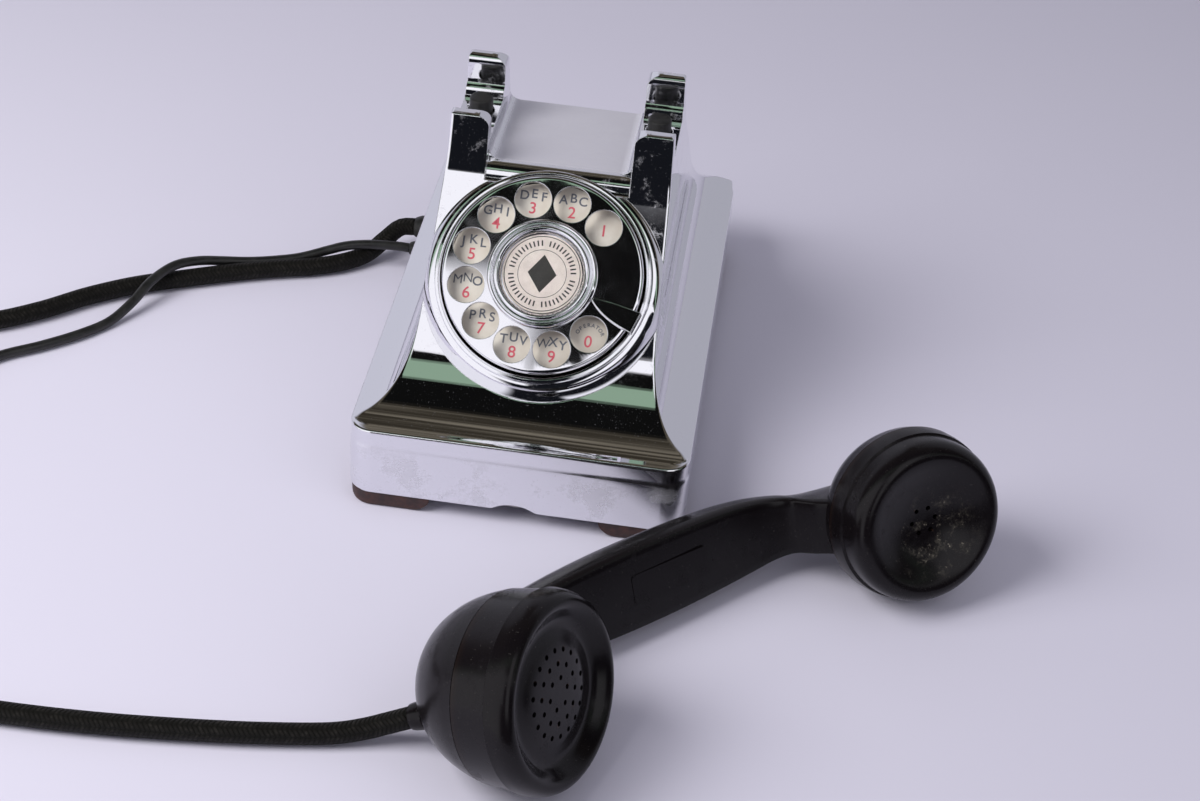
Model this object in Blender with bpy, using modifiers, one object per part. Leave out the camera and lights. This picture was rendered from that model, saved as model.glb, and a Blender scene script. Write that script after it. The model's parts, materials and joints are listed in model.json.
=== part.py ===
"""Rotary desk telephone with a plated metal housing, handset off its cradle.

Lengths below are in millimetres and angles in degrees; MM turns them into metres.
The desk frame has X to the telephone's right, Y to its rear and Z up from the desk top.
"""
import bpy
import bmesh
from math import cos, pi, radians, sin
from mathutils import Matrix, Vector

MM = 0.001
GAP = 0.3                     # running gap between touching pieces

# ---- driving dimensions -------------------------------------------------------------
SET_CENTRE = (52.35, -76.64)    # centre of the whole set's footprint in the desk frame

HALF_WIDTH = 63.5             # skirt, from the middle to the side
FRONT_Y = -104.0
REAR_Y = 102.0
FOOT_HEIGHT = 6.5             # the skirt's lower edge above the desk
STEP_Z = 27.5                 # a shallow ledge runs round the skirt here
SKIRT_TOP = 34.5
STEP_IN = 0.7
CORNER_RADIUS = 9.0
WALL = 2.5

DECK_FRONT_Z = 104.7          # the deck between the cradle ears slopes to the rear
DECK_REAR_Z = 101.3
DECK_FRONT_Y = -18.2
DECK_REAR_Y = 34.0
HOLLOW_TOP = 98.8             # underside of the deck
HORN_TOP = 128.0              # the ears' rear posts
FRONT_HORN_TOP = 123.5        # the ears' lower front horns
EAR_INNER = 27.4              # cradle ears, from the middle to their inner side
EAR_OUTER = 41.6
SEAT_Z = 112.0                # where the plungers come out of the ears
SEAT_FRONT_Y = -13.5
SEAT_REAR_Y = 17.5

DIAL_CENTRE = (0.0, -55.0, 80.9)
DIAL_TILT = 46.2              # the dial's normal above the horizon
WHEEL_RADIUS = 37.5
HOLE_CIRCLE = 28.5
HOLE_RADIUS = 6.8
FIRST_HOLE = 45.0             # angle of hole 1; the others follow every 30 degrees
HOLE_COUNT = 10
CASE_RADIUS = 41.0
CASE_BORE = 38.1
PLATE_Z = -5.6                # number plate, below the wheel's face
FINGER_STOP_ANGLE = -20.0

GEAR_MODULE = 0.7
MAIN_TEETH = 60
PULSE_TEETH = 10
FAST_MODULE = 0.6
FAST_TEETH = 32
GOVERNOR_TEETH = 8
PULSE_ANGLE = 150.0           # direction of the pulse shaft from the dial's centre
GOVERNOR_ANGLE = 245.0        # direction of the governor from the pulse shaft

PLUNGER_X = 34.4
PLUNGER_Y = 5.3
PLUNGER_RADIUS = 4.5
PLUNGER_TOP = 117.6
STEM_RADIUS = 2.0
LEVER_Z = 80.0
LEVER_PIN_Y = 27.0

HANDSET_PLACE = (34.42, -225.05, 37.54)       # centre of the mouthpiece's recess
HANDSET_ACROSS = (0.7359, 0.6771, -0.0040)    # from mouthpiece to earpiece
HANDSET_FACE = (0.6310, -0.6840, 0.3670)      # the way both caps face
CAP_SPACING = 160.0
MOUTH_TILT = 25.3             # each cap leans towards the other
EAR_TILT = 10.4
MOUTH_SEAM = -20.9            # seam between bowl and cap, along the cap's axis
EAR_SEAM = -19.3

CORD_DIAMETER = 7.5
LINE_DIAMETER = 4.0
CORD_Z = CORD_DIAMETER / 2 + GAP
LINE_Z = LINE_DIAMETER / 2 + GAP
CORD_COIL_CENTRE = (-272.0, -165.0)
CORD_COIL_RADIUS = 41.0
LINE_COIL_CENTRE = (-262.0, -78.0)
LINE_COIL_RADIUS = 23.0
CORD_EXIT = (-66.5, 68.0, 13.0)
LINE_EXIT = (-66.5, 54.0, 11.0)

# ---- scene, materials and frames ----------------------------------------------------
for old in list(bpy.data.objects):
    bpy.data.objects.remove(old, do_unlink=True)


def collection(name):
    group = bpy.data.collections.new(name)
    bpy.context.scene.collection.children.link(group)
    return group


PARTS = collection("rotary_desk_telephone")
CUTTERS = collection("cutters")


def material(name, colour, roughness, metallic=0.0):
    made = bpy.data.materials.new(name)
    made.use_nodes = True
    shader = made.node_tree.nodes["Principled BSDF"]
    shader.inputs["Base Color"].default_value = (*colour, 1.0)
    shader.inputs["Roughness"].default_value = roughness
    shader.inputs["Metallic"].default_value = metallic
    return made


CHROME = material("chrome", (0.80, 0.80, 0.82), 0.08, 1.0)
BLACK = material("black_phenolic", (0.015, 0.014, 0.014), 0.22)
ENAMEL = material("cream_enamel", (0.78, 0.72, 0.62), 0.35)
CARD = material("card_paper", (0.80, 0.74, 0.66), 0.8)
CLEAR = material("clear_window", (0.9, 0.9, 0.9), 0.05)
STEEL = material("steel", (0.45, 0.45, 0.46), 0.35, 1.0)
BRASS = material("brass", (0.70, 0.52, 0.25), 0.3, 1.0)
COPPER = material("copper_winding", (0.45, 0.20, 0.10), 0.5, 0.5)
BROWN = material("brown_leather", (0.14, 0.06, 0.05), 0.6)
BRAID = material("braided_cord", (0.02, 0.02, 0.015), 0.8)
PLASTIC = material("black_plastic", (0.02, 0.02, 0.02), 0.4)


def empty(name, matrix, parent=None):
    made = bpy.data.objects.new(name, None)
    PARTS.objects.link(made)
    made.parent = parent
    made.matrix_local = matrix
    return made


def axes_matrix(x_axis, z_axis, place):
    """A frame from its X direction, its Z direction and its origin in millimetres."""
    z_axis = Vector(z_axis).normalized()
    x_axis = Vector(x_axis)
    x_axis = (x_axis - z_axis * x_axis.dot(z_axis)).normalized()
    y_axis = z_axis.cross(x_axis)
    matrix = Matrix((x_axis, y_axis, z_axis)).transposed().to_4x4()
    matrix.translation = Vector(place) * MM
    return matrix


DESK = empty("desk_set", Matrix.Translation((-SET_CENTRE[0] * MM, -SET_CENTRE[1] * MM, 0)))
tilt = radians(DIAL_TILT)
DIAL = empty("dial_axis", axes_matrix((1, 0, 0), (0, -cos(tilt), sin(tilt)), DIAL_CENTRE), DESK)
HANDSET = empty("handset_frame",
                axes_matrix(HANDSET_ACROSS, HANDSET_FACE, HANDSET_PLACE), DESK)
MOUTH = empty("mouthpiece_axis", Matrix.Rotation(radians(MOUTH_TILT), 4, "Y"), HANDSET)
EAR = empty("earpiece_axis", Matrix.Translation((CAP_SPACING * MM, 0, 0))
            @ Matrix.Rotation(-radians(EAR_TILT), 4, "Y"), HANDSET)
ALONG_X = Matrix(((0, 0, 1, 0), (1, 0, 0, 0), (0, 1, 0, 0), (0, 0, 0, 1)))
ALONG_Y = Matrix(((1, 0, 0, 0), (0, 0, -1, 0), (0, 1, 0, 0), (0, 0, 0, 1)))


# ---- modelling helpers --------------------------------------------------------------
def place(obj, parent, local=None, finish=None, cutter=False):
    (CUTTERS if cutter else PARTS).objects.link(obj)
    obj.parent = parent
    if local is not None:
        obj.matrix_local = local
    if cutter:
        obj.hide_render = True
        obj.display_type = "WIRE"
    elif finish is not None:
        obj.data.materials.append(finish)
    return obj


def shade(mesh, angle=35):
    mesh.shade_smooth()
    mesh.set_sharp_from_angle(angle=radians(angle))


def baked(obj):
    """Replace a curve or modifier stack by its evaluated mesh, with its seams welded."""
    bpy.context.view_layer.update()
    evaluated = obj.evaluated_get(bpy.context.evaluated_depsgraph_get())
    mesh = bpy.data.meshes.new_from_object(evaluated)
    mesh.materials.clear()
    work = bmesh.new()
    work.from_mesh(mesh)
    bmesh.ops.remove_doubles(work, verts=work.verts, dist=0.00001)
    bmesh.ops.recalc_face_normals(work, faces=work.faces)
    work.to_mesh(mesh)
    work.free()
    bpy.data.objects.remove(obj, do_unlink=True)
    return mesh


def plate_mesh(name, outlines, low, high):
    """A flat outline with its holes, filled between two heights of its own Z."""
    curve = bpy.data.curves.new(name, "CURVE")
    curve.dimensions = "2D"
    curve.fill_mode = "BOTH"
    curve.extrude = (high - low) / 2 * MM
    for outline in outlines:
        spline = curve.splines.new("POLY")
        spline.points.add(len(outline) - 1)
        for point, (x, y) in zip(spline.points, outline):
            point.co = (x * MM, y * MM, 0, 1)
        spline.use_cyclic_u = True
    obj = bpy.data.objects.new(name, curve)
    CUTTERS.objects.link(obj)
    mesh = baked(obj)
    mesh.transform(Matrix.Translation((0, 0, (low + high) / 2 * MM)))
    mesh.name = name
    return mesh


def plate(name, outlines, low, high, parent=DESK, local=None, finish=None, cutter=False):
    obj = bpy.data.objects.new(name, plate_mesh(name, outlines, low, high))
    shade(obj.data)
    return place(obj, parent, local, finish, cutter)


def turned(name, profile, parent=DESK, local=None, finish=None, steps=32, ring=False,
           cutter=False):
    """A profile of (radius, height) turned about Z; a ring's profile closes on itself."""
    mesh = bpy.data.meshes.new(name)
    edges = [(i, i + 1) for i in range(len(profile) - 1)]
    if ring:
        edges.append((len(profile) - 1, 0))
    mesh.from_pydata([(r * MM, 0, z * MM) for r, z in profile], edges, [])
    obj = bpy.data.objects.new(name, mesh)
    screw = obj.modifiers.new("turn", "SCREW")
    screw.steps = steps
    screw.render_steps = steps
    screw.use_merge_vertices = True
    screw.merge_threshold = 0.00001
    CUTTERS.objects.link(obj)
    made = bpy.data.objects.new(name, baked(obj))
    made.data.name = name
    shade(made.data)
    return place(made, parent, local, finish, cutter)


def cylinder(name, radius, low, high, parent=DESK, local=None, finish=None, steps=20,
             cutter=False):
    profile = [(0, high), (radius, high), (radius, low), (0, low)]
    return turned(name, profile, parent, local, finish, steps, cutter=cutter)


def box(name, low, high, parent=DESK, finish=None, cutter=False):
    outline = [(low[0], low[1]), (high[0], low[1]), (high[0], high[1]), (low[0], high[1])]
    return plate(name, [outline], low[2], high[2], parent, None, finish, cutter)


def combine(target, other, operation):
    step = target.modifiers.new(operation.lower(), "BOOLEAN")
    step.operation = operation
    step.object = other
    if other.name in PARTS.objects:
        PARTS.objects.unlink(other)
        CUTTERS.objects.link(other)
    other.hide_render = True
    other.display_type = "WIRE"


def arc(centre, radius, start, stop, count):
    """Points along an arc, from one angle to the other."""
    points = []
    for i in range(count + 1):
        angle = radians(start + (stop - start) * i / count)
        points.append((centre[0] + radius * cos(angle), centre[1] + radius * sin(angle)))
    return points


def circle(x, y, radius, count):
    return arc((x, y), radius, 0, 360 - 360 / count, count - 1)


def bend(first, corner, last, count=8):
    """A smooth curve that leaves first towards corner and arrives at last from it."""
    points = []
    for i in range(count + 1):
        t = i / count
        points.append(tuple(a * (1 - t) ** 2 + 2 * b * t * (1 - t) + c * t * t
                            for a, b, c in zip(first, corner, last)))
    return points


def rounded_box_outline(x, y_low, y_high, radius, count=5):
    points = []
    corners = ((x, y_low, -90), (x, y_high, 0), (-x, y_high, 90), (-x, y_low, 180))
    for cx, cy, start in corners:
        inner = (cx - radius * (1 if cx > 0 else -1), cy + radius * (1 if cy == y_low else -1))
        points += arc(inner, radius, start, start + 90, count)
    return points


def toothed_outline(teeth, module):
    """Outline of a spur gear with slim pointed teeth, one of them on the X axis."""
    pitch = teeth * module / 2
    points = []
    for i in range(2 * teeth):
        radius = pitch - module * 1.15 if i % 2 else pitch + module * 0.80
        angle = pi * i / teeth
        points.append((radius * cos(angle), radius * sin(angle)))
    return points


def smooth_route(stations, spacing):
    """Evenly spaced points on a smooth curve through the route's own stations."""
    stations = [Vector(p) for p in stations]
    ends = [2 * stations[0] - stations[1], *stations, 2 * stations[-1] - stations[-2]]
    fine = []
    for before, start, stop, after in zip(ends, ends[1:], ends[2:], ends[3:]):
        for i in range(24):
            t = i / 24
            fine.append(0.5 * (2 * start + (stop - before) * t
                               + (2 * before - 5 * start + 4 * stop - after) * t * t
                               + (3 * start - before - 3 * stop + after) * t ** 3))
    fine.append(stations[-1])
    total = sum((b - a).length for a, b in zip(fine, fine[1:]))
    count = max(2, round(total / spacing))
    points = [fine[0]]
    walked = 0.0
    for a, b in zip(fine, fine[1:]):
        step = (b - a).length
        while len(points) < count and walked + step >= total * len(points) / count:
            share = (total * len(points) / count - walked) / step
            points.append(a.lerp(b, share))
        walked += step
    points.append(fine[-1])
    return points


def tube(name, points, diameter, finish, resolution=2, parent=DESK):
    curve = bpy.data.curves.new(name, "CURVE")
    curve.dimensions = "3D"
    curve.bevel_depth = diameter / 2 * MM
    curve.bevel_resolution = resolution
    curve.use_fill_caps = True
    spline = curve.splines.new("POLY")
    spline.points.add(len(points) - 1)
    for point, (x, y, z) in zip(spline.points, points):
        point.co = (x * MM, y * MM, z * MM, 1)
    return place(bpy.data.objects.new(name, curve), parent, None, finish)


# ---- housing ------------------------------------------------------------------------
def side_half(inset):
    """Half of the section across the housing: skirt, shoulder, cove and tower wall."""
    skirt = HALF_WIDTH - inset
    tower = EAR_OUTER - inset
    step_in = 0 if inset else STEP_IN
    ledge = [] if inset else [(skirt, STEP_Z), (skirt - STEP_IN, STEP_Z + 0.6)]
    shoulder = bend((skirt - step_in, SKIRT_TOP - 1.3 - inset),
                    (skirt - 2.0, SKIRT_TOP + 1.4 - inset),
                    (56.5 - inset, 37.3 - inset), 4)
    cove = bend((54.5 - inset, 37.6 - inset), (45.6 - inset, 38.6 - inset),
                (44.7 - inset, 60.0), 8)
    return [(skirt, FOOT_HEIGHT - (20 if inset else 0)), *ledge, *shoulder, *cove,
            (43.2 - inset, 95.0), (tower, HORN_TOP + 6)]


def side_outline(inset):
    half = side_half(inset)
    return half + [(-x, z) for x, z in reversed(half)]


def front_outline(inset):
    """Section along the housing: skirt, front cove, dial face, horns and rear slope."""
    front = FRONT_Y + inset
    rear = REAR_Y - inset
    low = FOOT_HEIGHT - (20 if inset else 0)
    top = HOLLOW_TOP if inset else HORN_TOP
    ledge = STEP_IN if inset == 0 else 0
    face_y = -23.6 + inset * 1.3
    points = [(front, low)]
    if inset == 0:
        points += [(front, STEP_Z), (front + ledge, STEP_Z + 0.6)]
    points += [(front + ledge, SKIRT_TOP - inset)]
    points += bend((-98 + inset, 34.9 - inset), (-77.0 + inset, 37.4 - inset),
                   (-62.0 + inset, 57.5 - inset * 0.4), 10)
    points += [(face_y - 3.0, 98.0)]
    if inset:
        points += [(face_y - 2.2, top), (DECK_REAR_Y - inset, top)]
    else:
        points += bend((face_y + 0.4, 108.0), (-22.6, top + 1.0), (-18.0, top), 4)
        points += bend((24.0, top), (29.5, top + 1.0), (30.2, 112.0), 4)
        points += [(33.8, 102.5)]
    points += bend((79.0 - inset * 1.3, 54.2 - inset * 0.4), (90.0 - inset, 41.5 - inset),
                   (rear - ledge, 37.0 - inset), 8)
    if inset == 0:
        points += [(rear - ledge, STEP_Z + 0.6), (rear, STEP_Z)]
    points += [(rear, low)]
    return points


def hull_block(name, inset, finish=None):
    """The body common to the long section, the cross section and the plan."""
    low = FOOT_HEIGHT - (20 if inset else 0)
    block = plate(name, [front_outline(inset)], -80, 80, local=ALONG_X, finish=finish,
                  cutter=finish is None)
    across = plate(name + "_across", [side_outline(inset)], -130, 130, local=ALONG_Y,
                   cutter=True)
    plan = plate(name + "_plan", [rounded_box_outline(
        HALF_WIDTH - inset, FRONT_Y + inset, REAR_Y - inset, CORNER_RADIUS - inset)],
        low - 1, 140, cutter=True)
    return block, across, plan


def make_housing():
    housing, across, plan = hull_block("housing", 0.0, CHROME)
    collar_profile = [(0, -6.4), (41.9, -6.4), (43.2, -7.4), (47.5, -20), (47.5, -34), (0, -34)]
    collar = turned("dial_collar", collar_profile, DIAL, steps=48, cutter=True)
    combine(housing, collar, "UNION")
    combine(housing, across, "INTERSECT")
    combine(housing, plan, "INTERSECT")

    lip = arc((DECK_FRONT_Y, DECK_FRONT_Z - 6.0), 6.0, 165, 90, 5)
    fall = (DECK_FRONT_Z - DECK_REAR_Z) / (DECK_REAR_Y - DECK_FRONT_Y)
    far = 60.0
    far_z = DECK_FRONT_Z - fall * (far - DECK_FRONT_Y)
    deck = [(-70, lip[0][1] - 0.4), *lip, (far, far_z), (far, 150), (-70, 150)]
    combine(housing, plate("deck_space", [deck], -EAR_INNER, EAR_INNER, local=ALONG_X,
                           cutter=True), "DIFFERENCE")
    seat = [(SEAT_FRONT_Y, SEAT_Z + 2), (SEAT_FRONT_Y + 2, SEAT_Z), (SEAT_REAR_Y - 3.5, SEAT_Z),
            (SEAT_REAR_Y - 3.0, SEAT_Z + 3.2), (SEAT_REAR_Y - 0.6, SEAT_Z + 3.8),
            (SEAT_REAR_Y + 0.8, SEAT_Z + 7), (SEAT_REAR_Y - 0.4, HORN_TOP + 5),
            (-40, HORN_TOP + 5), (-40, FRONT_HORN_TOP), (SEAT_FRONT_Y, FRONT_HORN_TOP)]
    combine(housing, plate("handset_seat", [seat], -60, 60, local=ALONG_X, cutter=True),
            "DIFFERENCE")
    cavity, inner_across, inner_plan = hull_block("cavity", WALL)
    combine(cavity, inner_across, "INTERSECT")
    combine(cavity, inner_plan, "INTERSECT")
    combine(housing, cavity, "DIFFERENCE")
    combine(housing, cylinder("dial_opening", CASE_BORE + 1.5, -60, 10, DIAL, steps=48,
                              cutter=True), "DIFFERENCE")
    for side in (-1, 1):
        well = Matrix.Translation((side * PLUNGER_X * MM, PLUNGER_Y * MM, 0))
        bore = cylinder(f"plunger_bore_{side}", PLUNGER_RADIUS + 0.4, 60, 120, local=well,
                        cutter=True)
        combine(housing, bore, "DIFFERENCE")
    for y_low, y_high, screw_y in ((FRONT_Y + 1.5, FRONT_Y + 14, -96.0),
                                   (REAR_Y - 14, REAR_Y - 1.5, 94.0)):
        lug = box(f"screw_lug_{y_low}", (-5, y_low, 9), (5, y_high, 24), cutter=True)
        combine(housing, lug, "UNION")
        hole = cylinder(f"lug_hole_{y_low}", 1.9, 5, 21, cutter=True, steps=12,
                        local=Matrix.Translation((0, screw_y * MM, 0)))
        combine(housing, hole, "DIFFERENCE")
    notch = plate("finger_notch", [arc((0, FOOT_HEIGHT - 11.3), 14.4, 0, 350, 35)],
                  -8, 8, local=Matrix.Translation((0, FRONT_Y * MM, 0)) @ ALONG_Y, cutter=True)
    combine(housing, notch, "DIFFERENCE")
    for name, (x, y, z), radius in (("cord_outlet", CORD_EXIT, 5.6),
                                    ("line_outlet", LINE_EXIT, 3.8)):
        outlet = cylinder(name, radius, -12, 12, steps=16, cutter=True,
                          local=sideways(x, y, z))
        combine(housing, outlet, "DIFFERENCE")


def sideways(x, y, z):
    """A frame whose Z points to the telephone's left."""
    return Matrix.Translation((x * MM, y * MM, z * MM)) @ Matrix.Rotation(-pi / 2, 4, "Y")


def make_base():
    inset = WALL + GAP
    outline = rounded_box_outline(HALF_WIDTH - inset, FRONT_Y + inset, REAR_Y - inset,
                                  CORNER_RADIUS - inset)
    holes = [circle(0, -96.0, 1.9, 12), circle(0, 94.0, 1.9, 12)]
    plate("base_plate", [outline, *holes], 6.8, 8.2, finish=STEEL)
    for name, y in (("base_screw_front", -96.0), ("base_screw_rear", 94.0)):
        turned(name, [(0, 20), (1.5, 20), (1.5, 6.5), (3.4, 6.5), (3.4, 5.0), (0, 5.0)],
               local=Matrix.Translation((0, y * MM, 0)), finish=STEEL, steps=12)
    reach = 31.0
    for end, y_edge, into in (("front", FRONT_Y, 1), ("rear", REAR_Y, -1)):
        for hand, side in (("left", -1), ("right", 1)):
            edge_x = side * (HALF_WIDTH - 0.6)
            edge_y = y_edge + into * 0.6
            corner = (edge_x - side * 8.5, edge_y + into * 8.5)
            start = {(1, 1): -90, (-1, 1): 180, (1, -1): 0, (-1, -1): 90}[side, into]
            points = arc(corner, 8.5, start, start + 90, 5)
            far_x = (edge_x - side * reach, edge_y)
            far_y = (edge_x, edge_y + into * reach)
            middle = (edge_x - side * 13, edge_y + into * 13)
            first_is_y_edge = (side, into) in ((1, 1), (-1, -1))
            tail = bend(far_y, middle, far_x, 6) if first_is_y_edge else \
                bend(far_x, middle, far_y, 6)
            plate(f"foot_{end}_{hand}", [points + tail], 0, FOOT_HEIGHT - GAP, finish=BROWN)


# ---- dial ---------------------------------------------------------------------------
def make_dial():
    case_profile = [(CASE_BORE, -3.4), (39.4, -3.0), (CASE_RADIUS, -4.6), (CASE_RADIUS, -6.1),
                    (39.2, -6.1), (39.2, -27.0), (37.8, -27.0), (CASE_BORE, -7.0)]
    turned("dial_case", case_profile, DIAL, None, CHROME, 48, ring=True)
    plate("number_plate", [circle(0, 0, 36.0, 36), circle(0, 0, 8.0, 12)],
          PLATE_Z - 0.8, PLATE_Z, DIAL, None, ENAMEL)

    holes = []
    for number in range(HOLE_COUNT):
        angle = radians(FIRST_HOLE + 30 * number)
        centre = (HOLE_CIRCLE * cos(angle), HOLE_CIRCLE * sin(angle))
        holes.append(circle(*centre, HOLE_RADIUS, 12))
    wheel = plate("finger_wheel", [circle(0, 0, WHEEL_RADIUS, 48), circle(0, 0, 3.9, 12), *holes],
                  -1.5, 0, DIAL, None, CHROME)
    rim_profile = [(36.2, -0.7), (37.3, -0.5), (WHEEL_RADIUS, -1.2), (WHEEL_RADIUS, -3.2),
                   (36.2, -3.2)]
    rim = turned("wheel_rim", rim_profile, DIAL, steps=48, ring=True, cutter=True)
    combine(wheel, rim, "UNION")

    stop_start = radians(FINGER_STOP_ANGLE)
    across = Vector((-sin(stop_start), cos(stop_start)))
    out = Vector((cos(stop_start), sin(stop_start)))
    tongue = [out * 21 - across * 0.6, out * 27 - across * 3.4, out * 33 - across * 4.6,
              out * 39.6 - across * 4.8, out * 39.6 + across * 3.4, out * 33 + across * 2.6,
              out * 27 + across * 1.4]
    stop = plate("finger_stop", [[tuple(p) for p in tongue]], 0.6, 1.8, DIAL, None, CHROME)
    leg = [out * 38.0 - across * 4.8, out * 39.6 - across * 4.8, out * 39.6 + across * 3.4,
           out * 38.0 + across * 3.4]
    combine(stop, plate("stop_leg", [[tuple(p) for p in leg]], -2.5, 1.2, DIAL, cutter=True),
            "UNION")

    ring_profile = [(17.0, 2.6), (18.6, 3.1), (20.0, 2.2), (20.6, 0.4), (15.2, 0.4), (15.2, 2.0)]
    turned("card_ring", ring_profile, DIAL, None, CHROME, 32, ring=True)
    cylinder("number_card", 14.8, 0.5, 0.8, DIAL, None, CARD, 40)
    turned("card_window", [(0, 1.7), (14.0, 1.5), (14.8, 1.2), (14.8, 1.1), (0, 1.1)],
           DIAL, None, CLEAR, 40)
    cylinder("dial_shaft", 3.6, -24.0, 0.2, DIAL, None, STEEL, 20)

    plate("dial_frame", [circle(0, 0, 35.0, 40), circle(0, 0, 4.2, 16),
                         circle(*shaft_place(PULSE_ANGLE, gear_reach()), 1.7, 12),
                         circle(*governor_place(), 1.7, 12)],
          -10.4, -9.0, DIAL, None, STEEL)
    plate("dial_main_gear", [toothed_outline(MAIN_TEETH, GEAR_MODULE), circle(0, 0, 3.9, 20)],
          -14.4, -13.0, DIAL, None, BRASS)
    spring = []
    for i in range(37):
        angle = radians(i * 30)
        spring.append((cos(angle) * (6.0 + 0.09 * i), sin(angle) * (6.0 + 0.09 * i), -19.0))
    tube("dial_spring", spring, 0.8, STEEL, 1, DIAL)

    pulse = Matrix.Translation((*[v * MM for v in shaft_place(PULSE_ANGLE, gear_reach())], 0)) \
        @ Matrix.Rotation(radians(PULSE_ANGLE + 180 / PULSE_TEETH), 4, "Z")
    pinion = plate("pulse_shaft", [toothed_outline(PULSE_TEETH, GEAR_MODULE)], -14.6, -12.8,
                   DIAL, pulse, BRASS)
    axle = [(0, -8.0), (1.4, -8.0), (1.4, -20.0), (5.5, -20.0), (5.5, -21.4), (1.4, -21.4),
            (1.4, -24.0), (0, -24.0)]
    combine(pinion, turned("pulse_axle", axle, DIAL, pulse, steps=12, cutter=True), "UNION")
    plate("pulse_gear", [toothed_outline(FAST_TEETH, FAST_MODULE), circle(0, 0, 1.7, 12)],
          -18.4, -17.2, DIAL, pulse, BRASS)
    fast_turn = PULSE_ANGLE + 180 / PULSE_TEETH
    step_angle = 360 / FAST_TEETH
    offset = (GOVERNOR_ANGLE - fast_turn) % step_angle
    pitch_ratio = FAST_TEETH / GOVERNOR_TEETH
    governor_turn = GOVERNOR_ANGLE + 180 + 180 / GOVERNOR_TEETH + offset * pitch_ratio
    centre = [v * MM for v in governor_place()]
    governor = Matrix.Translation((*centre, 0)) @ Matrix.Rotation(radians(governor_turn), 4, "Z")
    rotor = plate("governor", [toothed_outline(GOVERNOR_TEETH, FAST_MODULE)], -18.6, -17.0,
                  DIAL, governor, BRASS)
    axle = cylinder("governor_axle", 1.2, -25.5, -8.0, DIAL, governor, steps=12, cutter=True)
    combine(rotor, axle, "UNION")
    weight_outline = [(-5.2, -1.8), (5.2, -1.8), (5.2, 1.8), (-5.2, 1.8)]
    weights = plate("governor_weights", [weight_outline], -25.2, -22.6, DIAL, governor,
                    cutter=True)
    combine(rotor, weights, "UNION")
    contact_x, contact_y = shaft_place(PULSE_ANGLE - 42, 29.0)
    box("pulse_contacts", (contact_x - 4, contact_y - 3, -24),
        (contact_x + 4, contact_y + 3, -10.8), DIAL, BLACK)


def gear_reach():
    return (MAIN_TEETH + PULSE_TEETH) * GEAR_MODULE / 2


def shaft_place(angle, reach):
    return reach * cos(radians(angle)), reach * sin(radians(angle))


def governor_place():
    x, y = shaft_place(PULSE_ANGLE, gear_reach())
    reach = (FAST_TEETH + GOVERNOR_TEETH) * FAST_MODULE / 2
    dx, dy = shaft_place(GOVERNOR_ANGLE, reach)
    return x + dx, y + dy


# ---- hookswitch ---------------------------------------------------------------------
def make_hookswitch():
    stem_end = LEVER_Z + 3.9
    profile = [(0, PLUNGER_TOP), (PLUNGER_RADIUS - 0.6, PLUNGER_TOP),
               (PLUNGER_RADIUS, PLUNGER_TOP - 0.6), (PLUNGER_RADIUS, 103.5),
               (STEM_RADIUS, 103.0), (STEM_RADIUS, stem_end), (0, stem_end)]
    for hand, side in (("left", -1), ("right", 1)):
        turned(f"plunger_{hand}", profile, finish=BLACK, steps=24,
               local=Matrix.Translation((side * PLUNGER_X * MM, PLUNGER_Y * MM, 0)))
    bar = 3.0
    outline = [(-38, PLUNGER_Y - 4), (38, PLUNGER_Y - 4), (38, PLUNGER_Y + 4), (10, PLUNGER_Y + 4),
               (10, LEVER_PIN_Y + 4), (-10, LEVER_PIN_Y + 4), (-10, PLUNGER_Y + 4),
               (-38, PLUNGER_Y + 4)]
    lever = plate("hook_lever", [outline], LEVER_Z, LEVER_Z + bar, finish=STEEL)
    pin_frame = Matrix.Translation((0, LEVER_PIN_Y * MM, (LEVER_Z + bar / 2) * MM)) \
        @ Matrix.Rotation(pi / 2, 4, "Y")
    knuckle = cylinder("lever_knuckle", 3.6, -10, 10, local=pin_frame, steps=20, cutter=True)
    combine(lever, knuckle, "UNION")
    lever_bore = cylinder("lever_bore", 1.8, -12, 12, local=pin_frame, steps=16, cutter=True)
    combine(lever, lever_bore, "DIFFERENCE")
    cylinder("hook_pin", 1.7, -13.5, 13.5, local=pin_frame, finish=STEEL, steps=16)
    deck_under = HOLLOW_TOP - GAP
    bracket = box("hook_bracket", (-15.5, 20, deck_under - 2), (15.5, 29, deck_under),
                  finish=STEEL)
    for side in (-1, 1):
        x = side * 13.5
        cheek = box(f"bracket_cheek_{side}", (x - 2, 22.5, 77), (x + 2, 31, deck_under - 1),
                    cutter=True)
        combine(bracket, cheek, "UNION")
    bracket_bore = cylinder("bracket_bore", 2.0, -20, 20, local=pin_frame, steps=16, cutter=True)
    combine(bracket, bracket_bore, "DIFFERENCE")
    box("hook_contacts", (-8, 21, 86), (8, 29, deck_under - 2 - GAP), finish=BLACK)
    box("hook_spring", (-3, 6, 87.0), (3, 20.7, 87.6), finish=BRASS)


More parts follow.
